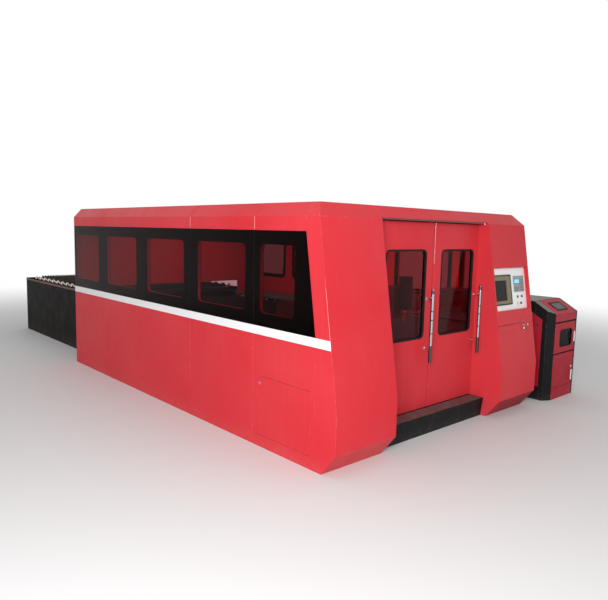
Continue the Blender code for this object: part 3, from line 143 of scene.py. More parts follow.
def make_paint_group():
    """Sprayed sheet metal: faint clouding, rain streaks, floor dust, orange peel and pale chips on the folds,
    partly worn paint and partly a painted highlight.
    """
    tree, start = shader_group("sprayed_paint", [
        ("Colour", COLOUR, (0.5, 0.02, 0.03, 1)), ("Dust", COLOUR, (0.35, 0.30, 0.27, 1)),
        ("Dust Share", NUMBER, 0.3), ("Dust Height", NUMBER, 0.35), ("Edge Wear And Glint", NUMBER, 0.4),
        ("Roughness", NUMBER, 0.3), ("Cloud", NUMBER, 0.08)])
    plain = place(tree)
    shade = remap(tree, grain(tree, plain, 0.9, 3.0), 0.3, 0.7)
    dark = add(tree, "ShaderNodeHueSaturation", {
        "Saturation": 1.03, "Value": calc(tree, "SUBTRACT", 1.0, start["Cloud"]), "Color": start["Colour"]})
    colour = blend_colour(tree, shade, dark.outputs[0], start["Colour"])
    streak = remap(tree, grain(tree, place(tree, (26, 26, 1.1)), 1.0, 3.0), 0.52, 0.80, 0.0, 0.03)
    colour = blend_colour(tree, streak, colour, start["Dust"])
    height = add(tree, "ShaderNodeSeparateXYZ", {0: plain}).outputs["Z"]
    low = remap(tree, height, 0.0, start["Dust Height"], 1.0, 0.0, interpolation_type="SMOOTHSTEP")
    speck = remap(tree, grain(tree, plain, 14.0, 6.0, 0.65), 0.35, 0.75, 0.15, 1.0)
    dust = calc(tree, "MULTIPLY", calc(tree, "MULTIPLY", low, speck), start["Dust Share"], clamp=True)
    colour = blend_colour(tree, dust, colour, start["Dust"])
    # Pale pink chips on the rounded folds: partly worn paint, partly a painted highlight on the edges.
    fold = add(tree, "ShaderNodeAttribute", attribute_name="fold").outputs["Fac"]
    chip_and_glint = remap(tree, grain(tree, plain, 21.0, 5.0, 0.7), 0.50, 0.62)
    worn_and_glint = calc(tree, "MULTIPLY", calc(tree, "MULTIPLY", fold, chip_and_glint), start["Edge Wear And Glint"], clamp=True)
    colour = blend_colour(tree, worn_and_glint, colour, (0.86, 0.70, 0.68, 1))
    patch = remap(tree, grain(tree, plain, 5.0, 4.0), 0.3, 0.7, -0.05, 0.06)
    rough = calc(tree, "ADD", start["Roughness"], patch)
    rough = calc(tree, "ADD", rough, calc(tree, "MULTIPLY", dust, 0.5), clamp=True)
    peel = calc(tree, "MULTIPLY", grain(tree, plain, 420.0, 1.0), 0.012)
    wave = calc(tree, "MULTIPLY", grain(tree, plain, 1.9, 1.0), 0.25)
    return close_group(tree, colour, rough, calc(tree, "ADD", peel, wave))


def make_metal_group():
    """Drawn or ground metal: fine lines along one direction, smudges and dull patches."""
    tree, start = shader_group("drawn_metal", [
        ("Colour", COLOUR, (0.7, 0.7, 0.7, 1)), ("Stain", COLOUR, (0.3, 0.27, 0.24, 1)),
        ("Stain Share", NUMBER, 0.2), ("Line Scale", ARROW, (900, 900, 6)), ("Roughness", NUMBER, 0.25)])
    plain = place(tree)
    stretch = add(tree, "ShaderNodeVectorMath", {0: plain, 1: start["Line Scale"]}, operation="MULTIPLY")
    line = grain(tree, stretch.outputs[0], 1.0, 2.0)
    smudge = remap(tree, grain(tree, plain, 17.0, 5.0, 0.6), 0.45, 0.75)
    share = calc(tree, "MULTIPLY", smudge, start["Stain Share"], clamp=True)
    colour = blend_colour(tree, share, start["Colour"], start["Stain"])
    rough = calc(tree, "ADD", start["Roughness"], remap(tree, line, 0.3, 0.7, -0.07, 0.09))
    rough = calc(tree, "ADD", rough, calc(tree, "MULTIPLY", share, 0.4), clamp=True)
    return close_group(tree, colour, rough, line)


def make_moulded_group():
    """Moulded plastic or rubber: a fine spark texture and handling marks."""
    tree, start = shader_group("moulded_skin", [
        ("Colour", COLOUR, (0.05, 0.05, 0.05, 1)), ("Grain", NUMBER, 900.0), ("Roughness", NUMBER, 0.45),
        ("Haze", NUMBER, 0.12)])
    plain = place(tree)
    fine = grain(tree, plain, start["Grain"], 2.0)
    mark = remap(tree, grain(tree, plain, 33.0, 4.0, 0.6), 0.45, 0.75)
    haze = calc(tree, "MULTIPLY", mark, start["Haze"], clamp=True)
    colour = blend_colour(tree, haze, start["Colour"], (0.32, 0.31, 0.30, 1))
    rough = calc(tree, "ADD", start["Roughness"], remap(tree, mark, 0.0, 1.0, -0.05, 0.12), clamp=True)
    return close_group(tree, colour, rough, fine)


def make_scorch_group():
    """Cutting slats: burnt clouds and bright flecks of spatter."""
    tree, start = shader_group("scorched_metal", [
        ("Colour", COLOUR, (0.060, 0.052, 0.048, 1)), ("Burnt", COLOUR, (0.022, 0.016, 0.014, 1)),
        ("Bright", COLOUR, (0.30, 0.26, 0.21, 1)), ("Roughness", NUMBER, 0.5)])
    plain = place(tree)
    cloud = remap(tree, grain(tree, plain, 9.0, 6.0, 0.65), 0.35, 0.68)
    fleck = remap(tree, grain(tree, plain, 130.0, 3.0, 0.6), 0.60, 0.66)
    colour = blend_colour(tree, cloud, start["Colour"], start["Burnt"])
    colour = blend_colour(tree, fleck, colour, start["Bright"])
    rough = calc(tree, "ADD", start["Roughness"], remap(tree, cloud, 0.0, 1.0, -0.1, 0.2), clamp=True)
    return close_group(tree, colour, rough, calc(tree, "ADD", cloud, fleck))


GROUPS = {
    "paint": make_paint_group(),
    "metal": make_metal_group(),
    "moulded": make_moulded_group(),
    "scorch": make_scorch_group(),
}


def new_material(name):
    """A new material with its tree and its shader."""
    made = bpy.data.materials.new(name)
    made.use_nodes = True
    return made, made.node_tree, made.node_tree.nodes["Principled BSDF"]


def give_relief(tree, shader, height, strength, distance):
    relief = add(tree, "ShaderNodeBump", {"Strength": strength, "Distance": distance, "Height": height})
    tree.links.new(relief.outputs["Normal"], shader.inputs["Normal"])


def finish(name, group, values, bump, **plain):
    """A material whose varying colour, roughness and relief come from one of the groups."""
    made, tree, shader = new_material(name)
    source = add(tree, "ShaderNodeGroup", values, node_tree=GROUPS[group])
    tree.links.new(source.outputs["Colour"], shader.inputs["Base Color"])
    tree.links.new(source.outputs["Roughness"], shader.inputs["Roughness"])
    give_relief(tree, shader, source.outputs["Height"], *bump)
    for key, value in plain.items():
        shader.inputs[key.replace("_", " ")].default_value = value
    return made


# The wear value sets the pale pink chips on the folds: partly worn paint, partly a painted highlight.
def paint(name, colour, roughness, dust=0.3, wear_and_glint=0.4, cloud=0.08, high=0.35, **plain):
    values = {"Colour": (*colour, 1), "Roughness": roughness, "Dust Share": dust, "Edge Wear And Glint": wear_and_glint,
              "Cloud": cloud, "Dust Height": high}
    return finish(name, "paint", values, (0.25, 0.0012), **plain)


def moulded(name, colour, roughness, haze=0.12, size=900.0, **plain):
    values = {"Colour": (*colour, 1), "Roughness": roughness, "Haze": haze, "Grain": size}
    return finish(name, "moulded", values, (0.12, 0.0002), **plain)


def metal(name, colour, roughness, lines, stain=0.2):
    values = {"Colour": (*colour, 1), "Roughness": roughness, "Line Scale": lines, "Stain Share": stain}
    return finish(name, "metal", values, (0.08, 0.0002), Metallic=1.0)


def smoked(name, colour, haze_colour, bend):
    """Tinted sheet: a plain glass shader with faint wipe marks."""
    made, tree, shader = new_material(name)
    shader.inputs["Transmission Weight"].default_value = 1.0
    shader.inputs["IOR"].default_value = bend
    wipe = remap(tree, grain(tree, place(tree, (2.0, 2.0, 5.0)), 2.2, 5.0, 0.6), 0.42, 0.78)
    mix = blend_colour(tree, calc(tree, "MULTIPLY", wipe, 0.35), (*colour, 1), (*haze_colour, 1))
    tree.links.new(mix, shader.inputs["Base Color"])
    tree.links.new(remap(tree, wipe, 0.0, 1.0, 0.0, 0.012), shader.inputs["Roughness"])
    give_relief(tree, shader, grain(tree, place(tree), 1.4, 1.0), 0.02, 0.0005)
    return made


def glowing(name, colour, strength, roughness):
    """A lit display face with a faint pixel grid."""
    made, tree, shader = new_material(name)
    fine = remap(tree, grain(tree, place(tree), 1400.0, 1.0), 0.3, 0.7)
    mix = blend_colour(tree, fine, (*colour, 1), tuple(c * 0.8 for c in colour) + (1,))
    tree.links.new(mix, shader.inputs["Base Color"])
    tree.links.new(mix, shader.inputs["Emission Color"])
    shader.inputs["Emission Strength"].default_value = strength
    shader.inputs["Roughness"].default_value = roughness
    return made


RED = (0.64, 0.045, 0.057)
CABINET_RED = (0.42, 0.022, 0.038)
FINISH = {
    "red_paint": paint("red_paint_sheet", RED, 0.34, dust=0.14, wear_and_glint=0.12, cloud=0.05, high=0.16,
                       Specular_IOR_Level=0.09),
    "cabinet_red": paint("cabinet_red_sheet", CABINET_RED, 0.40, dust=0.14, wear_and_glint=0.2, cloud=0.05, high=0.12,
                         Specular_IOR_Level=0.08),
    "black_paint": paint("black_textured_sheet", (0.010, 0.010, 0.011), 0.55, dust=0.08, wear_and_glint=0.08, cloud=0.2,
                         high=0.12, Specular_IOR_Level=0.12),
    "stripe_white": paint("white_stripe_film", (0.83, 0.84, 0.85), 0.42, dust=0.1, wear_and_glint=0.1, cloud=0.02,
                          Specular_IOR_Level=0.08),
    "dark_wall": paint("dark_inner_sheet", (0.007, 0.006, 0.006), 0.6, dust=0.0, wear_and_glint=0.0, cloud=0.2,
                       Specular_IOR_Level=0.1),
    "tinted_acrylic": smoked("smoked_acrylic_sheet", (0.33, 0.170, 0.185), (0.36, 0.19, 0.20), 1.09),
    "door_glass": smoked("smoked_door_pane", (0.62, 0.15, 0.17), (0.64, 0.18, 0.19), 1.14),
    "gasket_rubber": moulded("black_rubber", (0.009, 0.009, 0.009), 0.6, 0.03, 500.0,
                             Specular_IOR_Level=0.12),
    "polished_steel": metal("polished_steel_tube", (0.46, 0.54, 0.57), 0.16, (900, 900, 14), 0.10),
    "console_silver": paint("silver_console_sheet", (0.92, 0.94, 0.94), 0.34, dust=0.0, wear_and_glint=0.2, cloud=0.03),
    "bezel_gold": moulded("olive_bezel", (0.17, 0.14, 0.062), 0.38, 0.05),
    "screen_glass": moulded("dark_screen", (0.008, 0.008, 0.009), 0.25, 0.02, 1500.0, Specular_IOR_Level=0.1),
    "keypad_grey": moulded("grey_keypad", (0.31, 0.33, 0.34), 0.5, 0.08),
    "lcd_blue": glowing("lit_blue_display", (0.20, 0.66, 0.90), 0.55, 0.2),
    "button_black": moulded("black_button_cap", (0.016, 0.017, 0.020), 0.35, 0.06),
    "button_red": moulded("red_mushroom_cap", (0.72, 0.085, 0.02), 0.32, 0.04),
    "button_pink": moulded("pink_button_cap", (0.78, 0.40, 0.38), 0.32, 0.04),
    "button_white": moulded("white_button_cap", (0.82, 0.83, 0.82), 0.30, 0.04),
    "button_yellow": moulded("yellow_knob", (0.80, 0.70, 0.22), 0.35, 0.04),
    "bed_steel": paint("grey_bed_sheet", (0.10, 0.11, 0.12), 0.5, dust=0.5, wear_and_glint=0.3, cloud=0.25),
    "gantry_aluminium": metal("anodised_aluminium", (0.34, 0.34, 0.35), 0.42, (8, 500, 500), 0.15),
    "slat_steel": finish("scorched_slat_steel", "scorch", {"Roughness": 0.5}, (0.4, 0.0006), Metallic=0.5),
    "table_black": paint("black_table_sheet", (0.012, 0.0105, 0.010), 0.6, dust=0.10, wear_and_glint=0.10, cloud=0.2,
                         high=0.2, Specular_IOR_Level=0.05),
    "pull_white": moulded("white_bent_pull", (0.82, 0.83, 0.82), 0.28, 0.05),
    "display_grey": moulded("black_display_frame", (0.012, 0.012, 0.011), 0.45, 0.05,
                            Specular_IOR_Level=0.06),
}
EXTRA = {
    # Near-white cream beads on the slat hooks' tops: a painted highlight.
    "hooks": paint("pale_hook_glint", (1.0, 0.90, 0.78), 0.5, dust=0.0, wear_and_glint=0.0, cloud=0.12),
    # Darker red for the tower's downward toe facets: painted shade.
    "toe": paint("red_toe_painted_shade", (0.36, 0.026, 0.036), 0.45, dust=0.10, wear_and_glint=0.1, cloud=0.2, high=0.16,
                 Specular_IOR_Level=0.05),
    "dull_strip": metal("dull_head_strip", (0.17, 0.13, 0.125), 0.45, (6, 700, 700), 0.3),
    "brass": metal("brass_lock", (0.78, 0.66, 0.36), 0.30, (300, 300, 300), 0.1),
    "tread": paint("dusty_tread", (0.090, 0.030, 0.028), 0.55, dust=0.45, wear_and_glint=0.1, cloud=0.5, high=0.6),
    "rust": paint("brown_rubbed_edge", (0.16, 0.055, 0.040), 0.6, dust=0.3, wear_and_glint=0.1, cloud=0.5, high=1.5),
    "display": moulded("olive_display_face", (0.105, 0.100, 0.085), 0.35, 0.15, 600.0,
                       Specular_IOR_Level=0.06),
    "far_band": smoked("smoked_far_sheet", (0.22, 0.075, 0.085), (0.25, 0.09, 0.10), 1.09),
    "dark_pane": smoked("smoked_cabinet_pane", (0.030, 0.026, 0.026), (0.045, 0.04, 0.04), 1.12),
    "top": paint("olive_grey_top", (0.18, 0.165, 0.145), 0.5, dust=0.1, wear_and_glint=0.1, cloud=0.2, high=1.6,
                 Specular_IOR_Level=0.2),
    "sleeve": metal("dark_bar_sleeve", (0.085, 0.092, 0.10), 0.30, (900, 900, 14), 0.10),
    "bright": metal("bright_turned_post", (0.80, 0.80, 0.80), 0.2, (400, 400, 400), 0.05),
    # Pale filler for the fascia seams; the same pale paint is the painted highlight on the left pillar's
    # front fold.
    "filler_and_highlight": paint("pale_filler_and_painted_highlight", (0.80, 0.66, 0.65), 0.5, dust=0.0, wear_and_glint=0.0, cloud=0.1),
    "zinc": metal("zinc_screw", (0.62, 0.62, 0.60), 0.32, (300, 300, 300), 0.2),
    "cover": paint("dark_head_cover", (0.030, 0.028, 0.030), 0.45, dust=0.1, wear_and_glint=0.2, cloud=0.1),
    "copper": metal("copper_nozzle", (0.72, 0.36, 0.20), 0.28, (500, 500, 20), 0.2),
    "key_cap": moulded("dark_key_cap", (0.13, 0.14, 0.145), 0.45, 0.06),
    "collar": metal("dark_button_collar", (0.25, 0.26, 0.27), 0.35, (400, 400, 400), 0.1),
}


# Mesh helpers

def new_piece(name, mesh):
    made = bpy.data.objects.new(name, mesh)
    bpy.context.scene.collection.objects.link(made)
    return made


def settle(made, body, slot, material, *nodes):
    """Gives a finished piece its material and its body and hides the nodes it stands for; its slot is not
    used.
    """
    if material is not None:
        made.data.materials.clear()
        made.data.materials.append(material)
    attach(made, body)
    if nodes:
        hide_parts(*nodes)
    return made


def evaluated_mesh(made):
    bpy.context.view_layer.update()
    return bpy.data.meshes.new_from_object(made.evaluated_get(bpy.context.evaluated_depsgraph_get()))


def plain_mesh(made):
    """Turns an object's live modifiers into its mesh."""
    mesh = evaluated_mesh(made)
    made.modifiers.clear()
    made.data = mesh
    return made


def shape_to_mesh(shape, name):
    bmesh.ops.recalc_face_normals(shape, faces=shape.faces)
    mesh = bpy.data.meshes.new(name)
    shape.to_mesh(mesh)
    shape.free()
    return mesh


def smooth(made, angle):
    made.data.shade_smooth()
    made.data.set_sharp_from_angle(angle=math.radians(angle))
    return made


def soften(made, width, segments=2, angle=30):
    """Rounds the folds of a piece, keeps its flats flat and marks the rounded faces."""
    for face in made.data.polygons:
        face.use_smooth = True
    while len(made.data.materials) < 2:
        made.data.materials.append(None)
    step = made.modifiers.new("folds", "BEVEL")
    step.width = width
    step.segments = segments
    step.limit_method = "ANGLE"
    step.angle_limit = math.radians(angle)
    step.material = 1
    level = made.modifiers.new("flats", "WEIGHTED_NORMAL")
    level.keep_sharp = True
    mesh = plain_mesh(made).data
    mark = mesh.attributes.new("fold", "FLOAT", "FACE")
    mark.data.foreach_set("value", [float(face.material_index == 1) for face in mesh.polygons])
    for face in mesh.polygons:
        face.material_index = 0
    return made


def dress(node, width, material=None):
    """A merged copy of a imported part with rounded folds, in place of it."""
    mesh = frame["nodes"][node].data.copy()
    mesh.name = node + "_skin"
    mesh.materials.clear()
    shape = bmesh.new()
    shape.from_mesh(mesh)
    bmesh.ops.remove_doubles(shape, verts=shape.verts, dist=0.00002)
    bmesh.ops.dissolve_limit(shape, angle_limit=math.radians(0.6), verts=shape.verts, edges=shape.edges)
    shape.to_mesh(mesh)
    shape.free()
    made = soften(new_piece(node + "_skin", mesh), width)
    slot = SLOT_OF[node]
    return settle(made, BODY_OF[node], slot, material or FINISH[slot], node)


def slab(name, first, second, bevel=0.0):
    """A block between two opposite corners."""
    low = Vector([min(pair) for pair in zip(first, second)])
    high = Vector([max(pair) for pair in zip(first, second)])
    shape = bmesh.new()
    bmesh.ops.create_cube(shape, size=1)
    bmesh.ops.scale(shape, vec=high - low, verts=shape.verts)
    bmesh.ops.translate(shape, vec=(low + high) / 2, verts=shape.verts)
    made = new_piece(name, shape_to_mesh(shape, name))
    return soften(made, bevel) if bevel else made


def round_points(left, right, low, high, radius, steps=6):
    """The points of a rectangle with rounded corners."""
    points = []
    centres = ((right - radius, high - radius), (left + radius, high - radius),
               (left + radius, low + radius), (right - radius, low + radius))
    for quarter, (u, v) in enumerate(centres):
        for step in range(steps + 1):
            angle = (quarter + step / steps) * math.pi / 2
            points.append((u + radius * math.cos(angle), v + radius * math.sin(angle)))
    return points


def add_line(curve, points, cyclic):
    line = curve.splines.new("POLY")
    line.points.add(len(points) - 1)
    for spot, point in zip(line.points, points):
        spot.co = (*point, 1)
    line.use_cyclic_u = cyclic


def curve_piece(name, curve, matrix):
    """A curve's mesh as a piece of its own, its caps welded."""
    source = new_piece(name + "_line", curve)
    mesh = evaluated_mesh(source)
    bpy.data.objects.remove(source)
    shape = bmesh.new()
    shape.from_mesh(mesh)
    bmesh.ops.remove_doubles(shape, verts=shape.verts, dist=WELD)
    shape.transform(matrix)
    return new_piece(name, shape_to_mesh(shape, name))


def plate(name, outline, holes, thick, matrix):
    """An outline with holes, filled and given a thickness along its own Z, then put in place."""
    curve = bpy.data.curves.new(name, "CURVE")
    curve.dimensions = "2D"
    curve.fill_mode = "BOTH"
    curve.extrude = thick / 2
    for points in [outline] + holes:
        add_line(curve, [(u, v, 0) for u, v in points], True)
    return curve_piece(name, curve, matrix)


def swept(name, points, radius, closed=False):
    """A round bead along a line of points."""
    curve = bpy.data.curves.new(name, "CURVE")
    curve.dimensions = "3D"
    curve.bevel_depth = radius
    curve.bevel_resolution = 2
    curve.use_fill_caps = not closed
    add_line(curve, points, closed)
    return smooth(curve_piece(name, curve, Matrix()), 50)


def lathe(name, profile, matrix, sides=28):
    """A turned piece: (radius, height) points down its outer side, closed at both ends."""
    shape = bmesh.new()
    line = [shape.verts.new((radius, 0, height)) for radius, height in profile]
    edges = [shape.edges.new(pair) for pair in zip(line, line[1:])]
    bmesh.ops.spin(
        shape, geom=line + edges, cent=(0, 0, 0), axis=(0, 0, 1), angle=math.tau, steps=sides, use_merge=True)
    bmesh.ops.remove_doubles(shape, verts=shape.verts, dist=WELD / 2)
    shape.transform(matrix)
    return smooth(new_piece(name, shape_to_mesh(shape, name)), 35)


def joined(name, parts):
    """Several meshes of one body and one material as one piece."""
    shape = bmesh.new()
    for part in parts:
        shape.from_mesh(part.data)
        bpy.data.objects.remove(part)
    mesh = bpy.data.meshes.new(name)
    shape.to_mesh(mesh)
    shape.free()
    return new_piece(name, mesh)


def on_slope(x, z, out=0.0):
    """A frame on the leaning front: its X runs right, its Y up the slope and its Z outwards."""
    spot = at(x, (z - BELLY_Z) * math.tan(LEAN), z) + SLOPE_OUT * out
    turn = Matrix((SLOPE_RIGHT, SLOPE_UP, SLOPE_OUT)).transposed().to_4x4()
    return Matrix.Translation(spot) @ turn


def facing(spot, outward):
    """A frame at a spot whose Z points along an axis of the machine, such as "-Y"."""
    turns, axis = {"-Y": (1, "X"), "+Y": (-1, "X"), "+X": (1, "Y"), "-X": (-1, "Y")}[outward]
    return Matrix.Translation(spot) @ Matrix.Rotation(turns * math.pi / 2, 4, axis)


def across_matrix(x):
    """Puts an outline drawn in (y, z) on a plane across x."""
    return Matrix.Translation(at(x, 0, 0)) @ Matrix(((0, 0, 1), (1, 0, 0), (0, 1, 0))).to_4x4()


def along_matrix(y, z):
    """Puts an outline drawn in (x, z) on a plane facing the front."""
    return Matrix.Translation(at(0, y, z)) @ Matrix(((1, 0, 0), (0, 0, -1), (0, 1, 0))).to_4x4()


# Node trees that repeat a shape

def shape_tree(name, sockets):
    tree = bpy.data.node_groups.new(name, "GeometryNodeTree")
    for label, kind in [("Geometry", SHAPE)] + sockets:
        tree.interface.new_socket(label, in_out="INPUT", socket_type=kind)
    tree.interface.new_socket("Geometry", in_out="OUTPUT", socket_type=SHAPE)
    return tree, add(tree, "NodeGroupInput").outputs


def close_tree(tree, geometry, material):
    real = add(tree, "GeometryNodeRealizeInstances", {0: geometry})
    painted = add(tree, "GeometryNodeSetMaterial", {"Geometry": real.outputs[0], "Material": material})
    add(tree, "NodeGroupOutput", {0: painted.outputs[0]})
    return tree


def copies_on(tree, points, unit):
    return add(tree, "GeometryNodeInstanceOnPoints", {"Points": points, "Instance": unit}).outputs[0]


def row_of(tree, count, step, start=None):
    inputs = {"Count": count, "Start Location": start, "Offset": step}
    return add(tree, "GeometryNodeMeshLine", inputs, mode="OFFSET").outputs[0]


def make_repeat_tree():
    """The modifier's own mesh, repeated in rows and columns."""
    tree, start = shape_tree("repeat_rows", [
        ("Columns", COUNT), ("Column Step", ARROW), ("Rows", COUNT), ("Row Step", ARROW), ("Material", SKIN)])
    columns = copies_on(tree, row_of(tree, start["Columns"], start["Column Step"]), start["Geometry"])
    rows = copies_on(tree, row_of(tree, start["Rows"], start["Row Step"]), columns)
    return close_tree(tree, rows, start["Material"])


def make_slat_tree():
    """Saw-toothed strips across the bed, one behind another, from their own sizes."""
    tree, start = shape_tree("toothed_slats", [
        ("Teeth", COUNT), ("Tooth Pitch", NUMBER), ("Tooth Height", NUMBER), ("Valley Height", NUMBER),
        ("Thickness", NUMBER), ("Count", COUNT), ("Pitch", NUMBER), ("Start", ARROW), ("Material", SKIN)])
    points_across = calc(tree, "ADD", calc(tree, "MULTIPLY", start["Teeth"], 2.0), 1.0)
    length = calc(tree, "MULTIPLY", start["Teeth"], start["Tooth Pitch"])
    grid = add(tree, "GeometryNodeMeshGrid", {
        "Size X": length, "Size Y": 1.0, "Vertices X": points_across, "Vertices Y": 2})
    spot = add(tree, "GeometryNodeInputPosition").outputs[0]
    split = add(tree, "ShaderNodeSeparateXYZ", {0: spot}).outputs
    shifted = calc(tree, "ADD", split["X"], calc(tree, "MULTIPLY", length, 0.5))
    half_pitch = calc(tree, "MULTIPLY", start["Tooth Pitch"], 0.5)
    wave = calc(tree, "DIVIDE", calc(tree, "PINGPONG", shifted, half_pitch), half_pitch)
    high = calc(tree, "ADD", calc(tree, "MULTIPLY", wave, start["Tooth Height"]), start["Valley Height"])
    upper = calc(tree, "GREATER_THAN", split["Y"], 0.0)
    risen = add(tree, "ShaderNodeCombineXYZ", {"X": split["X"], "Z": calc(tree, "MULTIPLY", high, upper)})
    strip = add(tree, "GeometryNodeSetPosition", {
        "Geometry": grid.outputs["Mesh"], "Position": risen.outputs[0]}).outputs[0]
    thick = add(tree, "GeometryNodeExtrudeMesh", {
        "Mesh": strip, "Offset Scale": start["Thickness"], "Individual": False}, mode="FACES")
    back = add(tree, "GeometryNodeFlipFaces", {0: strip})
    whole = add(tree, "GeometryNodeJoinGeometry", {0: thick.outputs["Mesh"]})
    feed(tree, whole.inputs[0], back.outputs[0])
    slat = add(tree, "GeometryNodeMergeByDistance", {"Geometry": whole.outputs[0], "Distance": WELD})
    step = add(tree, "ShaderNodeCombineXYZ", {"Y": start["Pitch"]}).outputs[0]
    slats = copies_on(tree, row_of(tree, start["Count"], step, start["Start"]), slat.outputs[0])
    return close_tree(tree, slats, start["Material"])


REPEAT = make_repeat_tree()
SLATS = make_slat_tree()


def run_tree(made, tree, values):
    """Puts a tree on a piece with its inputs set by identifier, and keeps only the plain mesh."""
    step = made.modifiers.new("rule", "NODES")
    step.node_group = tree
    for item in tree.interface.items_tree:
        if item.item_type == "SOCKET" and item.in_out == "INPUT" and item.name in values:
            step[item.identifier] = values[item.name]
    return plain_mesh(made)


def repeated(unit, columns, column_step, material, rows=1, row_step=(0, 0, 1)):
    return run_tree(unit, REPEAT, {
        "Columns": columns, "Column Step": tuple(column_step), "Rows": rows, "Row Step": tuple(row_step),
        "Material": material})


def screw_unit(name, spot, normal, size):
    """A low domed head with a socket, sitting on a surface."""
    turn = Vector(normal).to_track_quat("Z", "Y").to_matrix().to_4x4()
    shares = ((0, 0.12), (0.38, 0.12), (0.42, 0.42), (0.72, 0.36), (1, 0.10), (1, 0), (0, 0))
    profile = [(radius * size, height * size) for radius, height in shares]
    return lathe(name, profile, Matrix.Translation(spot) @ turn, 12)


# Enclosure

FOLD_WIDTH = {
    "front_pillar": 0.005, "control_tower": 0.005, "front_header": 0.003, "front_step": 0.003,
    "side_panel_left": 0.0018, "side_panel_right": 0.0018, "access_door": 0.0018, "roof_shell": 0.0018,
    "rear_wall": 0.003, "door_left": 0.003, "door_right": 0.003, "door_head_strip": 0.0012,
    "tinted_band_left": 0.001, "tinted_band_right": 0.001, "window_wall_left": 0.0015,
    "window_wall_right": 0.0015, "door_left_gasket": 0.004, "door_right_gasket": 0.004,
    "button_plate": 0.001, "console_panel": 0.001, "keyboard_drawer": 0.001, "cabinet_carcass": 0.003,
    "cabinet_inset_left": 0.001, "cabinet_inset_right": 0.001, "cabinet_top_panel": 0.002,
    "cabinet_kick": 0.002, "cabinet_upper_door": 0.002, "cabinet_lower_door": 0.002,
    "cabinet_display": 0.0012, "exchange_table": 0.002, "machine_bed": 0.004, "gantry": 0.004,
    "monitor_bezel": 0.0025, "monitor_screen": 0.0008, "keypad": 0.0015,
    "stripe_left": 0.0005, "stripe_right": 0.0005,
}
OWN_FINISH = {
    "door_head_strip": EXTRA["dull_strip"], "tinted_band_right": EXTRA["far_band"],
    "cabinet_upper_pane": EXTRA["dark_pane"],
}


def dress_packed_parts():
    """Rounded folds on the folded sheets, and a finish on each node that is shown as it is."""
    for node, width in FOLD_WIDTH.items():
        dress(node, width, OWN_FINISH.get(node))
    for node, part in frame["nodes"].items():
        if not part.hide_render:
            part.data.materials.clear()
            part.data.materials.append(OWN_FINISH.get(node) or FINISH[SLOT_OF[node]])


def tint_faces(skin, material, chosen):
    """Gives the chosen faces of a dressed part a second paint."""
    mesh = bpy.data.objects[skin].data
    mesh.materials.append(material)
    for face in mesh.polygons:
        if chosen(face):
            face.material_index = 1


def paint_reveals():
    """Red cut edges in the window openings, black ones in the cabinet's, and painted shade on the tower's
    downward toe facets.
    """
    reach = 0.02
    toe_height = 0.25
    spans = [(at(0, first - reach, 0).y, at(0, last + reach, 0).y) for first, last in window_spans()]
    window_low, window_high = at(0, 0, WINDOW_LOW - reach).z, at(0, 0, WINDOW_HIGH + reach).z
    pane_low, pane_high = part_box("cabinet_upper_pane")

    def in_wall_opening(face):
        spot = face.center
        level = window_low < spot.z < window_high and any(low < spot.y < high for low, high in spans)
        return level and abs(face.normal.x) < 0.6

    def in_door_opening(face):
        across = pane_low.x - reach < face.center.x < pane_high.x + reach
        level = pane_low.z - reach < face.center.z < pane_high.z + reach
        return across and level and abs(face.normal.y) < 0.6

    # Downward front facets low on the tower, which take the painted shade.
    def on_toe(face):
        undercut = -0.95 < face.normal.z < -0.25 and face.normal.y < -0.1
        return undercut and face.center.z < at(0, 0, toe_height).z

    tint_faces("window_wall_left_skin", FINISH["red_paint"], in_wall_opening)
    tint_faces("window_wall_right_skin", FINISH["red_paint"], in_wall_opening)
    tint_faces("cabinet_upper_door_skin", FINISH["gasket_rubber"], in_door_opening)
    tint_faces("control_tower_skin", EXTRA["toe"], on_toe)


def window_spans():
    """The first and last y of each window, with a post between two bays' windows."""
    first_window, half_post, end_post = 0.53, 0.138, 0.086
    seams = [BAY * count for count in range(1, int(WALL_LENGTH / BAY) + 1)]
    spans = [(first_window, seams[0] - end_post)]
    spans += [(seam + half_post, following - half_post) for seam, following in zip(seams, seams[1:])]
    spans.append((seams[-1] + half_post, WALL_LENGTH - end_post))
    return spans


def window_outline(span, grow, radius):
    """A window's rounded outline in (y, z), grown all round."""
    return round_points(span[0] - grow, span[1] + grow, WINDOW_LOW - grow, WINDOW_HIGH + grow, radius)


def line_side_walls():
    """A red inner sheet on each window wall and a rubber edge round each cut-out."""
    low, high, front, rear = 1.095, 1.925, 0.29, WALL_LENGTH - 0.045
    cut_back = 0.12
    wall_face, lining_gap, lining_thick = 0.0368, 0.001, 0.0015
    lining_grow, lining_corner = 0.060, 0.100
    rim_gap, rim_radius, rim_grow, rim_corner = 0.002, 0.009, 0.011, 0.061
    outline = [(front, low), (rear, low), (rear, high), (front + cut_back, high)]
    for side, face, inward in (("left", wall_face, 1), ("right", MACHINE_WIDTH - wall_face, -1)):
        holes = [window_outline(span, lining_grow, lining_corner) for span in window_spans()]
        plane = across_matrix(face + inward * lining_gap)
        sheet = plate("inner_lining_" + side, outline, holes, lining_thick, plane)
        settle(sheet, "machine", "red_paint", FINISH["red_paint"])
        rims = []
        for count, span in enumerate(window_spans()):
            outline_points = window_outline(span, rim_grow, rim_corner)
            ring = [at(face + inward * rim_gap, y, z) for y, z in outline_points]
            rims.append(swept("rim_%d" % count, ring, rim_radius, True))
        settle(joined("window_rims_" + side, rims), "machine", "gasket_rubber", FINISH["gasket_rubber"])


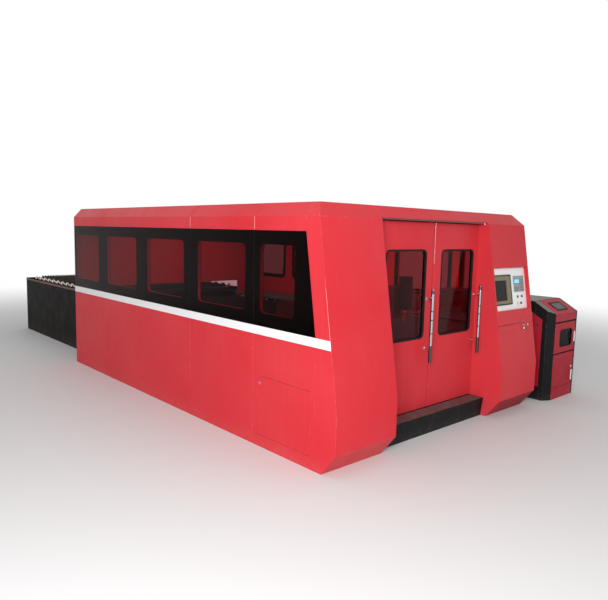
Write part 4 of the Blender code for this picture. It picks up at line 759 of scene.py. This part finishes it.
def seam_strips(name, rise, half_width, low, high, count, slot, material):
    """Thin strips over the first bay seams, on both sides of the enclosure."""
    for side, face, outward in (("left", 0, -1), ("right", MACHINE_WIDTH, 1)):
        unit = slab(name + side, at(face, BAY - half_width, low),
                    at(face + outward * rise, BAY + half_width, high))
        settle(repeated(unit, count, (0, BAY, 0), material), "machine", slot, None)


def joint_strips():
    """Dark sealing strips where the acrylic sheets of two bays meet."""
    seam_strips("band_joint_", 0.0012, 0.002, 1.094, 1.928, 4, "gasket_rubber", FINISH["gasket_rubber"])


def seam_lines():
    """A painted highlight along the left column's front fold, and pale filler in the first two fascia seams.
    """
    # Pale bead on the pillar's front-left fold: a painted highlight.
    rub = [at(0.0016, (z - BELLY_Z) * math.tan(LEAN) + 0.0018, z) for z in (1.03, 1.26, 1.50)]
    settle(swept("rubbed_fold", rub, 0.0016), "machine", "red_paint", EXTRA["filler_and_highlight"])
    seam_strips("fascia_seam_", 0.0006, 0.0014, 1.936, 2.048, 2, "red_paint", EXTRA["filler_and_highlight"])


def build_pull_bar(name, node):
    """A polished tube with black rings in its grooves as painted dark reflection bands, two dark sleeves and
    two collared posts.
    """
    body = BODY_OF[node]
    box_low, box_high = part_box(node)
    low, high = box_low.z, box_high.z
    radius = (box_high.x - box_low.x) / 2
    middle = (box_low.x + box_high.x) / 2
    depth = box_low.y + radius
    post_length = box_high.y - depth
    reflection_band_shares = (0.705, 0.585, 0.405, 0.230)
    post_heights = (0.81, 1.30)
    reflection_bands = [low + (high - low) * share for share in reflection_band_shares]
    spot = Matrix.Translation((middle, depth, 0))
    profile = [(0, high), (radius * 0.72, high), (radius, high - 0.004)]
    groove = radius * 0.84
    for z in reflection_bands:
        profile += [(radius, z + 0.004), (groove, z + 0.003), (groove, z - 0.003), (radius, z - 0.004)]
    profile += [(radius, low + 0.004), (radius * 0.72, low), (0, low)]
    settle(lathe(name + "_tube", profile, spot), body, "polished_steel", FINISH["polished_steel"], node)
    inner, outer, half = radius * 0.8, radius + 0.0004, 0.0028
    # Black rubber rings in the tube's grooves: painted dark reflection bands.
    rings = [lathe(name + "_joint", [(inner, z + half), (outer, z + half), (outer, z - half),
                                     (inner, z - half), (inner, z + half)], spot) for z in reflection_bands]
    settle(joined(name + "_joints", rings), body, "gasket_rubber", FINISH["gasket_rubber"])
    inner, outer = radius - 0.001, radius + 0.0003
    ends = ((low + 0.005, reflection_bands[-1] - 0.0045), (high - 0.045, high - 0.006))
    sleeves = [lathe(name + "_sleeve", [(inner, top), (outer, top - 0.0006), (outer, base), (inner, base),
                                        (inner, top)], spot) for base, top in ends]
    settle(joined(name + "_sleeves", sleeves), body, "polished_steel", EXTRA["sleeve"])
    collar, stem = 0.015, 0.0095
    post = [(0, post_length), (collar, post_length), (collar, post_length - 0.0062),
            (stem, post_length - 0.0092), (stem, 0.006), (0, 0.006)]
    posts = [lathe(name + "_post", post, facing((middle, depth, at(0, 0, z).z), "+Y"), 20)
             for z in post_heights]
    settle(joined(name + "_posts", posts), body, "polished_steel", EXTRA["bright"])


def build_doors():
    """The leaves' pull bars, the right leaf's bright trim, the keeper in the head and the worn tread."""
    build_pull_bar("pull_bar_left", "door_left_handle")
    build_pull_bar("pull_bar_right", "door_right_handle")
    leaf_low, leaf_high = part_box("door_right")
    trim = slab("leaf_edge_trim", (leaf_low.x + 0.0005, leaf_low.y - 0.0030, leaf_high.z - 0.400),
                (leaf_low.x + 0.0040, leaf_low.y - 0.0003, leaf_high.z - 0.002), 0.0006)
    settle(trim, "door_right", "polished_steel", EXTRA["bright"])
    keeper = slab("head_keeper", at(TOWER_LEFT - 0.050, 0.268, 2.036),
                  at(TOWER_LEFT - 0.026, 0.2735, 2.0575), 0.0008)
    settle(keeper, "machine", "polished_steel", EXTRA["zinc"])
    low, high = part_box("front_step")
    tread = slab("step_tread", (low.x + 0.012, low.y + 0.006, high.z + 0.0001),
                 (high.x - 0.012, leaf_low.y - 0.010, high.z + 0.0016), 0.0006)
    settle(tread, "machine", "black_paint", EXTRA["tread"])


def build_access_door():
    """A quarter-turn lock with a rim and a bar across it."""
    low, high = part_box("access_lock")
    middle = (low + high) / 2
    profile = [(0, 0.0030), (0.0042, 0.0030), (0.0046, 0.0048), (0.0100, 0.0050), (0.0128, 0.0034),
               (0.0130, 0), (0, 0)]
    lock = lathe("access_lock_body", profile, facing((high.x, middle.y, middle.z), "-X"))
    settle(lock, "access_lock", "polished_steel", FINISH["polished_steel"], "access_lock")
    bar = slab("access_lock_bar", (low.x - 0.0002, middle.y - 0.0010, middle.z - 0.0040),
               (high.x - 0.0028, middle.y + 0.0010, middle.z + 0.0040))
    settle(bar, "access_lock", "polished_steel", EXTRA["collar"])


# Console, buttons and drawer, placed by x from the tower's left side and by height

def slope_bead(name, outline, out, radius, slot):
    """A rubber bead round an outline in (x, z) on the leaning front."""
    ring = [on_slope(TOWER_LEFT + x, z, out).translation for x, z in outline]
    settle(swept(name, ring, radius, True), "machine", slot, FINISH["gasket_rubber"])


def key_unit(name, width, height, rise):
    """One key with a tapered cap, standing on its own XY plane."""
    shape = bmesh.new()
    bmesh.ops.create_cube(shape, size=1)
    bmesh.ops.scale(shape, vec=(width, height, rise), verts=shape.verts)
    bmesh.ops.translate(shape, vec=(0, 0, rise / 2), verts=shape.verts)
    for spot in shape.verts:
        if spot.co.z > rise / 2:
            spot.co.x *= 0.84
            spot.co.y *= 0.80
    upper = [edge for edge in shape.edges if max(spot.co.z for spot in edge.verts) > rise / 2]
    bmesh.ops.bevel(shape, geom=upper, offset=rise * 0.22, segments=1, affect="EDGES")
    return new_piece(name, shape_to_mesh(shape, name))


def key_field(name, width, height, x, z, out, columns, rows, pitch, step):
    """Rows of keys on the keypad."""
    unit = key_unit(name, width, height, 0.0024)
    unit.data.transform(on_slope(TOWER_LEFT + x, z, out))
    made = repeated(unit, columns, SLOPE_RIGHT * pitch, EXTRA["key_cap"], rows, SLOPE_UP * step)
    settle(made, "machine", "keypad_grey", None)


def press(name, x, z, face, radius, slot):
    """A domed cap on its stem and the fixed ring round it."""
    matrix = on_slope(TOWER_LEFT + x, z, face)
    air, cap, stem, root = 0.004, 0.007, 0.0068, -0.008
    profile = [(0, air + cap), (radius * 0.55, air + cap * 0.97), (radius * 0.86, air + cap * 0.80),
               (radius, air + cap * 0.45), (radius, air), (stem, air), (stem, root), (0, root)]
    settle(lathe(name + "_cap", profile, matrix), name, slot, FINISH[slot], name)
    ring = [(radius + 0.0008, 0.0052), (radius + 0.0022, 0.0046), (radius + 0.0030, 0.0002),
            (radius + 0.0008, 0.0002), (radius + 0.0008, 0.0052)]
    settle(lathe(name + "_ring", ring, matrix), "machine", "polished_steel", EXTRA["collar"])


def turn_knob(name, x, z, face, slot):
    """A disc with a grip bar and a white mark, and the fixed ring round it."""
    matrix = on_slope(TOWER_LEFT + x, z, face + 0.0003)
    profile = [(0, 0.0085), (0.0088, 0.0085), (0.0102, 0.0070), (0.0108, 0.0015), (0.0110, 0), (0, 0)]
    disc = lathe(name + "_disc", profile, matrix)
    grip = slab(name + "_grip", (-0.0026, -0.0098, 0.004), (0.0026, 0.0098, 0.0158), 0.0011)
    grip.data.transform(matrix)
    settle(joined(name + "_knob", [disc, grip]), name, slot, FINISH[slot], name)
    ring = [(0.0114, 0.0048), (0.0136, 0.0042), (0.0150, 0.0002), (0.0114, 0.0002), (0.0114, 0.0048)]
    settle(lathe(name + "_ring", ring, matrix), "machine", "polished_steel", EXTRA["collar"])
    mark = slab(name + "_mark", (-0.0007, 0.003, 0.0150), (0.0007, 0.0090, 0.0161))
    mark.data.transform(matrix)
    settle(mark, name, "button_white", FINISH["button_white"])


def build_console():
    """Screen, keypad, knobs and buttons in the niche, each on the leaning face."""
    face = -0.040
    key_face = face + 0.0053
    press("start_button", 0.535, 1.272, face, 0.0125, "button_black")
    press("feed_button", 0.624, 1.272, face, 0.0125, "button_black")
    turn_knob("mode_selector", 0.535, 1.199, face, "button_yellow")
    turn_knob("key_switch", 0.594, 1.199, face, "button_black")
    key_field("keypad_keys", 0.0145, 0.0105, 0.487, 1.342, key_face, 5, 3, 0.0195, 0.0160)
    key_field("keypad_side_keys", 0.0145, 0.0125, 0.606, 1.342, key_face, 4, 6, 0.0195, 0.0220)
    slope_bead("display_rim", round_points(0.4775, 0.5845, 1.4155, 1.4625, 0.004, 3), face + 0.0062, 0.0018,
               "keypad_grey")
    slope_bead("screen_lip", round_points(0.0545, 0.2865, 1.2435, 1.4555, 0.004, 3), face + 0.0163, 0.0022,
               "bezel_gold")
    outer = round_points(-0.1785, 0.1785, -0.1628, 0.1628, 0.007, 4)
    inner = round_points(-0.1665, 0.1665, -0.1508, 0.1508, 0.004, 4)
    border = plate("bezel_frame", outer, [inner], 0.0026, on_slope(TOWER_LEFT + 0.211, 1.3565, face + 0.0168))
    settle(soften(border, 0.0008), "machine", "bezel_gold", FINISH["gasket_rubber"])
    corner = on_slope(TOWER_LEFT + 0.040, 1.154, face + 0.0002).translation
    unit = screw_unit("console_screws", corner, SLOPE_OUT, 0.0045)
    made = repeated(unit, 2, SLOPE_RIGHT * 0.67, EXTRA["zinc"], 2, SLOPE_UP * 0.424)
    settle(made, "machine", "console_silver", None)


def build_button_plate():
    """Four round buttons and the mushroom head of the emergency stop."""
    face = 0.002
    for name, x, z, slot in (("power_button", 0.620, 0.957, "button_pink"),
                             ("lamp_button", 0.532, 0.925, "button_white"),
                             ("black_button_upper", 0.522, 0.995, "button_black"),
                             ("black_button_lower", 0.579, 0.918, "button_black")):
        press(name, x, z, face, 0.0105, slot)
    matrix = on_slope(TOWER_LEFT + 0.522, 0.957, face)
    profile = [(0, 0.0178), (0.0085, 0.0176), (0.0150, 0.0158), (0.0178, 0.0122), (0.0180, 0.0095),
               (0.0150, 0.0072), (0.0085, 0.0062), (0.0068, 0.0062), (0.0068, -0.008), (0, -0.008)]
    settle(lathe("stop_mushroom", profile, matrix, 36), "emergency_stop", "button_red", FINISH["button_red"],
           "emergency_stop")
    ring = [(0.0085, 0.0030), (0.0186, 0.0024), (0.0194, 0.0002), (0.0085, 0.0002), (0.0085, 0.0030)]
    settle(lathe("stop_ring", ring, matrix, 36), "machine", "polished_steel", EXTRA["collar"])


def build_drawer():
    """A finger lip along the drawer's front and a keyboard with caps in it."""
    low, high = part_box("keyboard")
    unit = key_unit("keyboard_keys", 0.0150, 0.0150, 0.0060)
    unit.data.transform(Matrix.Translation((low.x + 0.014, low.y + 0.016, high.z - 0.0005)))
    made = repeated(unit, 20, (0.0190, 0, 0), FINISH["button_black"], 6, (0, 0.0200, 0))
    settle(made, "keyboard_drawer", "button_black", None)
    dress("keyboard", 0.002)
    ends = [on_slope(TOWER_LEFT + x, 0.982, 0.0006).translation for x in (0.020, 0.460)]
    settle(swept("drawer_lip", ends, 0.0035), "keyboard_drawer", "red_paint", FINISH["red_paint"])


# Bed, gantry and pallets

def build_gantry():
    """The beam's rails and bolts, the carriage's two plates and the cutting head."""
    rail_left, rail_right, rail_front, rail_back, rail_half = 0.36, 2.83, 0.7775, 0.7797, 0.011
    rails = [slab("rail_%d" % count, at(rail_left, rail_front, z - rail_half),
                  at(rail_right, rail_back, z + rail_half))
             for count, z in enumerate((1.135, 1.265))]
    settle(joined("gantry_rails", rails), "gantry", "gantry_aluminium", FINISH["polished_steel"])
    bolt_count, bolt_pitch, bolt_rise, bolt_radius = 24, 0.1025, 0.08, 0.006
    unit = screw_unit("beam_bolts", at(0.42, 1.0002, 1.16), (0, 1, 0), bolt_radius)
    made = repeated(unit, bolt_count, (bolt_pitch, 0, 0), EXTRA["zinc"], 2, (0, 0, bolt_rise))
    settle(made, "gantry", "gantry_aluminium", None)
    low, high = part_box("cross_carriage")
    behind = at(0, 0.7770, 0).y
    cap_low, cap_high = at(0, 0, 1.3003).z, at(0, 0, 1.3203).z
    parts = [slab("carriage_plate", low, (high.x, behind, high.z), 0.005),
             slab("carriage_cap", (low.x, behind - 0.012, cap_low), (high.x, high.y, cap_high), 0.003)]
    settle(joined("carriage_body", parts), "cross_carriage", "gantry_aluminium", FINISH["gantry_aluminium"],
           "cross_carriage")
    low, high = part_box("cutting_head")
    cover_low = at(0, 0, 1.16).z
    profile = [(0, 1.16), (0.036, 1.16), (0.036, 1.135), (0.032, 1.130), (0.032, 1.105), (0.026, 1.100),
               (0.020, 1.072), (0.0165, 1.066), (0.0165, 1.058), (0.011, 1.052), (0.0062, 1.0262),
               (0.0040, 1.025), (0, 1.025)]
    axis = Matrix.Translation(((low.x + high.x) / 2, (low.y + high.y) / 2, CORNER.z))
    nozzle = lathe("head_nozzle", profile, axis, 32)
    body = slab("head_body", (low.x, low.y, cover_low), high, 0.008)
    settle(body, "cutting_head", "gantry_aluminium", EXTRA["cover"], "cutting_head")
    settle(nozzle, "cutting_head", "gantry_aluminium", EXTRA["copper"])
    ring = [(0.0375, 1.128), (0.0395, 1.126), (0.0395, 1.112), (0.0375, 1.110), (0.0330, 1.110),
            (0.0330, 1.128), (0.0375, 1.128)]
    settle(lathe("nozzle_ring", ring, axis, 32), "cutting_head", "gantry_aluminium", EXTRA["collar"])


def build_pallet(name):
    """Frame bars with rounded edges, fine-toothed slats and the hooked slat ends over the bars, with a pale
    painted highlight along each hook's top.
    """
    body = BODY_OF[name]
    low, high = (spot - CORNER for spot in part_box(name))
    bar, bar_height, slat_gap, slat_thick, teeth = 0.06, 0.06, 0.04, 0.006, 46
    hook_thick, bead_radius = 0.007, 0.0115
    first_slat = low.y + bar + slat_gap

    def rectangle(inside):
        left, right, front, rear = low.x + inside, high.x - inside, low.y + inside, high.y - inside
        return [(left, front), (right, front), (right, rear), (left, rear)]

    level = Matrix.Translation(at(0, 0, low.z + bar_height / 2))
    ring = soften(plate(name + "_frame", rectangle(0), [rectangle(bar)], bar_height, level), 0.004)
    settle(ring, body, "slat_steel", FINISH["slat_steel"], name)
    unit = new_piece(name + "_slats", bpy.data.meshes.new(name + "_slats"))
    made = run_tree(unit, SLATS, {
        "Teeth": teeth, "Tooth Pitch": (high.x - low.x - 2 * (bar - 0.01)) / teeth, "Tooth Height": 0.030,
        "Valley Height": 0.070, "Thickness": slat_thick, "Count": SLAT_COUNT, "Pitch": SLAT_PITCH,
        "Start": tuple(at(MACHINE_WIDTH / 2, first_slat + slat_thick / 2, low.z + 0.028)),
        "Material": FINISH["slat_steel"]})
    settle(made, body, "slat_steel", None)
    hook = [(-0.046, 0.048), (-0.046, 0.066), (-0.046, 0.088), (-0.041, 0.100), (-0.032, 0.103),
            (-0.022, 0.095), (-0.010, 0.079), (0.006, 0.063), (0.022, 0.052), (0.022, 0.044)]
    plane = along_matrix(first_slat, low.z)
    faces, beads = [], []
    for edge, inward in ((low.x, 1), (high.x, -1)):
        points = [(edge + inward * u, v) for u, v in hook]
        faces.append(plate(name + "_hook", points, [], hook_thick, plane))
        # Pale beads along each hook's top edge: a painted highlight.
        bead = [plane @ Vector((u, v, 0)) for u, v in points[1:-1]]
        beads.append(swept(name + "_rub", bead, bead_radius))
    for label, parts, material in (("_hooks", faces, FINISH["slat_steel"]),
                                   ("_hook_edges", beads, EXTRA["hooks"])):
        made = repeated(joined(name + label, parts), 1, (1, 0, 0), material, SLAT_COUNT, (0, SLAT_PITCH, 0))
        settle(made, body, "slat_steel", None)


def build_table():
    """The rubbed top edges of the table's side and end plates."""
    low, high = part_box("exchange_table")
    start, end = at(0, 5.229, 0).y, high.y
    strip_low, side_top = at(0, 0, 0.921).z, at(0, 0, 0.945).z
    gap, skin, cover = 0.0002, 0.0015, 0.016
    parts = []
    for side, face, inward in (("left", low.x, 1), ("right", high.x, -1)):
        outer = face - inward * skin
        parts.append(slab("edge_" + side, (outer, start, strip_low),
                          (face - inward * gap, end, side_top + 0.0008)))
        parts.append(slab("edge_top_" + side, (outer, start, side_top + gap),
                          (face + inward * cover, end, side_top + 0.0016)))
    parts.append(slab("edge_end", (low.x, end - 0.0155, high.z + gap), (high.x, end, high.z + 0.0016)))
    settle(joined("table_edge_strips", parts), "machine", "table_black", EXTRA["rust"])


# Control cabinet

def build_desk(left, top, width, depth):
    """The sloping desk's display, its rubber rim, the top sheet and the desk's left border."""
    front_z, run = 1.035, 0.228
    slope = math.atan2(top - front_z, run)
    tilt = Matrix.Rotation(slope, 4, "X")
    middle, display_along = left + 0.3748, 0.129

    def on_desk(x, along, out):
        spot = at(x, along * math.cos(slope), front_z + along * math.sin(slope))
        return Matrix.Translation(spot + tilt.to_3x3() @ Vector((0, 0, out))) @ tilt

    display = plate("display_face", round_points(-0.1095, 0.1095, -0.053, 0.053, 0.004, 3), [], 0.0012,
                    on_desk(middle, display_along, 0.0036))
    settle(display, "machine", "display_grey", EXTRA["display"])
    rim = [on_desk(middle + u, display_along + v, 0.0052).translation
           for u, v in round_points(-0.1315, 0.1315, -0.075, 0.075, 0.007, 4)]
    settle(swept("desk_display_rim", rim, 0.0016, True), "machine", "display_grey", FINISH["gasket_rubber"])
    sheet = slab("cabinet_top_sheet", at(left + 0.002, 0.236, top + 0.0002),
                 at(left + width - 0.002, depth - 0.002, top + 0.0018), 0.0005)
    settle(sheet, "machine", "black_paint", EXTRA["top"])
    border = [(0.002, 0.066), (0.1035, 0.004), (0.1035, 0.264), (0.002, 0.264)]
    strip = plate("desk_border_left", border, [], 0.0012, on_desk(left, 0, 0.0008))
    settle(strip, "machine", "black_paint", EXTRA["top"])


def build_pull(node):
    """A flat white bar on two legs in place of a bent pull."""
    low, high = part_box(node)
    bar = slab(node + "_bar", (low.x - 0.006, low.y + 0.006, low.z),
               (high.x - 0.002, low.y + 0.016, high.z), 0.003)
    settle(bar, BODY_OF[node], "pull_white", FINISH["pull_white"], node)
    length = high.y - low.y - 0.014
    profile = [(0, length), (0.0045, length), (0.0045, 0.002), (0.0075, 0.0012), (0.0075, 0), (0, 0)]
    legs = [lathe(node + "_leg", profile, facing(((low.x + high.x) / 2, high.y, z), "-Y"), 16)
            for z in (low.z + 0.009, high.z - 0.009)]
    settle(joined(node + "_legs", legs), BODY_OF[node], "pull_white", FINISH["cabinet_red"])


def build_cabinet():
    """The desk, the window's seal, the locks, catches and pulls, the kick's lip and the vents behind."""
    left = CABINET_LEFT
    low, high = (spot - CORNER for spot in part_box("cabinet_carcass"))
    build_desk(left, high.z, high.x - low.x, high.y)
    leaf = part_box("cabinet_upper_door")[0].x - CORNER.x
    ring = [at(leaf + u, -0.0008, v) for u, v in round_points(0.137, 0.443, 0.630, 0.834, 0.035)]
    settle(swept("cabinet_window_seal", ring, 0.0045, True), "cabinet_upper_door", "gasket_rubber",
           FINISH["gasket_rubber"])
    profile = [(0, 0.0062), (0.0035, 0.0062), (0.0040, 0.0074), (0.0112, 0.0070), (0.0128, 0.0040),
               (0.0130, 0), (0, 0)]
    lock = lathe("lower_door_lock", profile, facing(at(leaf + 0.485, 0, 0.352), "-Y"))
    settle(lock, "cabinet_lower_door", "pull_white", EXTRA["brass"])
    catch = [(0, 0.003), (0.007, 0.003), (0.008, 0.0018), (0.008, 0), (0, 0)]
    for count, (x, z) in enumerate(((0.512, 0.477), (0.505, 0.160))):
        disc = lathe("door_catch_%d" % count, catch, facing(at(leaf + x, 0, z), "-Y"), 20)
        settle(disc, "cabinet_lower_door", "gasket_rubber", FINISH["gasket_rubber"])
    build_pull("cabinet_upper_handle")
    build_pull("cabinet_lower_handle")
    disc = [(0, 0.003), (0.011, 0.003), (0.013, 0.0018), (0.013, 0), (0, 0)]
    for side, x, outward in (("left", low.x + 0.002, "-X"), ("right", high.x - 0.002, "+X")):
        lock = lathe("inset_lock_" + side, disc, facing(at(x, 0.170, 0.897), outward), 24)
        settle(lock, "machine", "black_paint", FINISH["button_black"])
    lip = slab("kick_lip", at(left + 0.110, -0.0014, 0.116), at(left + 0.638, 0.0002, 0.129), 0.0006)
    settle(lip, "machine", "cabinet_red", FINISH["cabinet_red"])
    back, vent_low, vent_height, vent_pitch = high.y + 0.0002, 0.80, 0.006, 0.018
    vent = slab("cabinet_louvres", at(left + 0.18, back, vent_low),
                at(left + 0.49, back + 0.0058, vent_low + vent_height), 0.0015)
    made = repeated(vent, 1, (1, 0, 0), FINISH["black_paint"], 9, (0, 0, vent_pitch))
    settle(made, "machine", "black_paint", None)


# Stage, light and camera

def seen_rays(tree):
    """One for camera, mirror and glass rays, so that metal and glass show the same white surroundings."""
    path = add(tree, "ShaderNodeLightPath").outputs
    seen = calc(tree, "ADD", path["Is Camera Ray"], path["Is Glossy Ray"], clamp=True)
    return calc(tree, "ADD", seen, path["Is Transmission Ray"], clamp=True)


def mix_shaders(tree, factor, first, second, output):
    mix = add(tree, "ShaderNodeMixShader", {"Fac": factor, 1: first.outputs[0], 2: second.outputs[0]})
    tree.links.new(mix.outputs[0], tree.nodes[output].inputs["Surface"])


def build_stage():
    """A pale floor that fades to white far from the machine."""
    floor_radius, fade_start, fade_end = 90.0, 5.0, 13.0
    shape = bmesh.new()
    bmesh.ops.create_circle(shape, cap_ends=True, segments=96, radius=floor_radius)
    mesh = bpy.data.meshes.new("studio_floor")
    shape.to_mesh(mesh)
    shape.free()
    floor = new_piece("studio_floor", mesh)
    made, tree, shader = new_material("studio_floor")
    shader.inputs["Base Color"].default_value = (0.76, 0.76, 0.76, 1)
    shader.inputs["Roughness"].default_value = 0.7
    far = add(tree, "ShaderNodeVectorMath", {0: place(tree)}, operation="LENGTH").outputs["Value"]
    fade = remap(tree, far, fade_start, fade_end, interpolation_type="SMOOTHSTEP")
    white = add(tree, "ShaderNodeEmission", {"Color": (1, 1, 1, 1)})
    mix_shaders(tree, calc(tree, "MULTIPLY", fade, seen_rays(tree)), shader, white, "Material Output")
    mesh.materials.append(made)


def add_lamp(name, spot, target, wide, high, power):
    lamp = bpy.data.lights.new(name, "AREA")
    lamp.shape = "RECTANGLE"
    lamp.size = wide
    lamp.size_y = high
    lamp.energy = power
    made = bpy.data.objects.new(name, lamp)
    bpy.context.scene.collection.objects.link(made)
    made.location = spot
    made.rotation_mode = "QUATERNION"
    made.rotation_quaternion = (target - spot).to_track_quat("-Z", "Y")
    return made


def build_light():
    """Pale surroundings, a key from the front left, a weak fill, a soft ceiling and a work light inside."""
    world = bpy.data.worlds.new("studio_world")
    bpy.context.scene.world = world
    world.use_nodes = True
    tree = world.node_tree
    base = tree.nodes["Background"]
    base.inputs["Color"].default_value = (1, 1, 1, 1)
    base.inputs["Strength"].default_value = 0.44
    seen = add(tree, "ShaderNodeBackground", {"Color": (1, 1, 1, 1), "Strength": 1.0})
    mix_shaders(tree, seen_rays(tree), base, seen, "World Output")
    add_lamp("key_light", at(-4.6, -3.6, 2.9), at(1.3, 1.2, 1.0), 2.4, 2.4, 450)
    add_lamp("fill_light", at(5.5, -6.5, 4.5), at(2.5, 1.2, 1.0), 4.0, 3.0, 26)
    add_lamp("sky_light", at(1.1, 3.2, 7.5), at(1.5, 3.7, 0.0), 7.0, 7.0, 72)
    inner = add_lamp("inner_light", at(1.6, 2.9, 2.05), at(1.6, 2.9, 0.0), 2.2, 4.0, 50)
    inner.visible_camera = inner.visible_transmission = inner.visible_glossy = False


def build_camera():
    """The photograph's camera: where it stood, how it was turned and its focal length in pixels."""
    eye = at(-3.136, -3.0628, 1.9247)
    yaw, pitch, roll = math.radians(42.132), math.radians(-6.639), math.radians(1.360)
    focal_pixels, picture_width, sensor_width = 586.85, 608, 36
    forward = Vector((math.sin(yaw) * math.cos(pitch), math.cos(yaw) * math.cos(pitch), math.sin(pitch)))
    level = Vector((math.cos(yaw), -math.sin(yaw), 0))
    above = level.cross(forward)
    right = math.cos(roll) * level + math.sin(roll) * above
    up = -math.sin(roll) * level + math.cos(roll) * above
    lens = bpy.data.cameras.new("photo_camera")
    lens.sensor_width = sensor_width
    lens.lens = focal_pixels / picture_width * sensor_width
    lens.clip_start = 0.05
    lens.clip_end = 200
    camera = bpy.data.objects.new("photo_camera", lens)
    bpy.context.scene.collection.objects.link(camera)
    camera.matrix_world = Matrix.Translation(eye) @ Matrix((right, up, -forward)).transposed().to_4x4()
    bpy.context.scene.camera = camera


build_camera()
build_stage()
build_light()
build_doors()
build_access_door()
build_console()
build_button_plate()
build_drawer()
build_gantry()
build_pallet("pallet_inner")
build_pallet("pallet_outer")
build_table()
build_cabinet()
line_side_walls()
joint_strips()
seam_lines()
dress_packed_parts()
paint_reveals()

bpy.context.scene.view_settings.view_transform = "Standard"
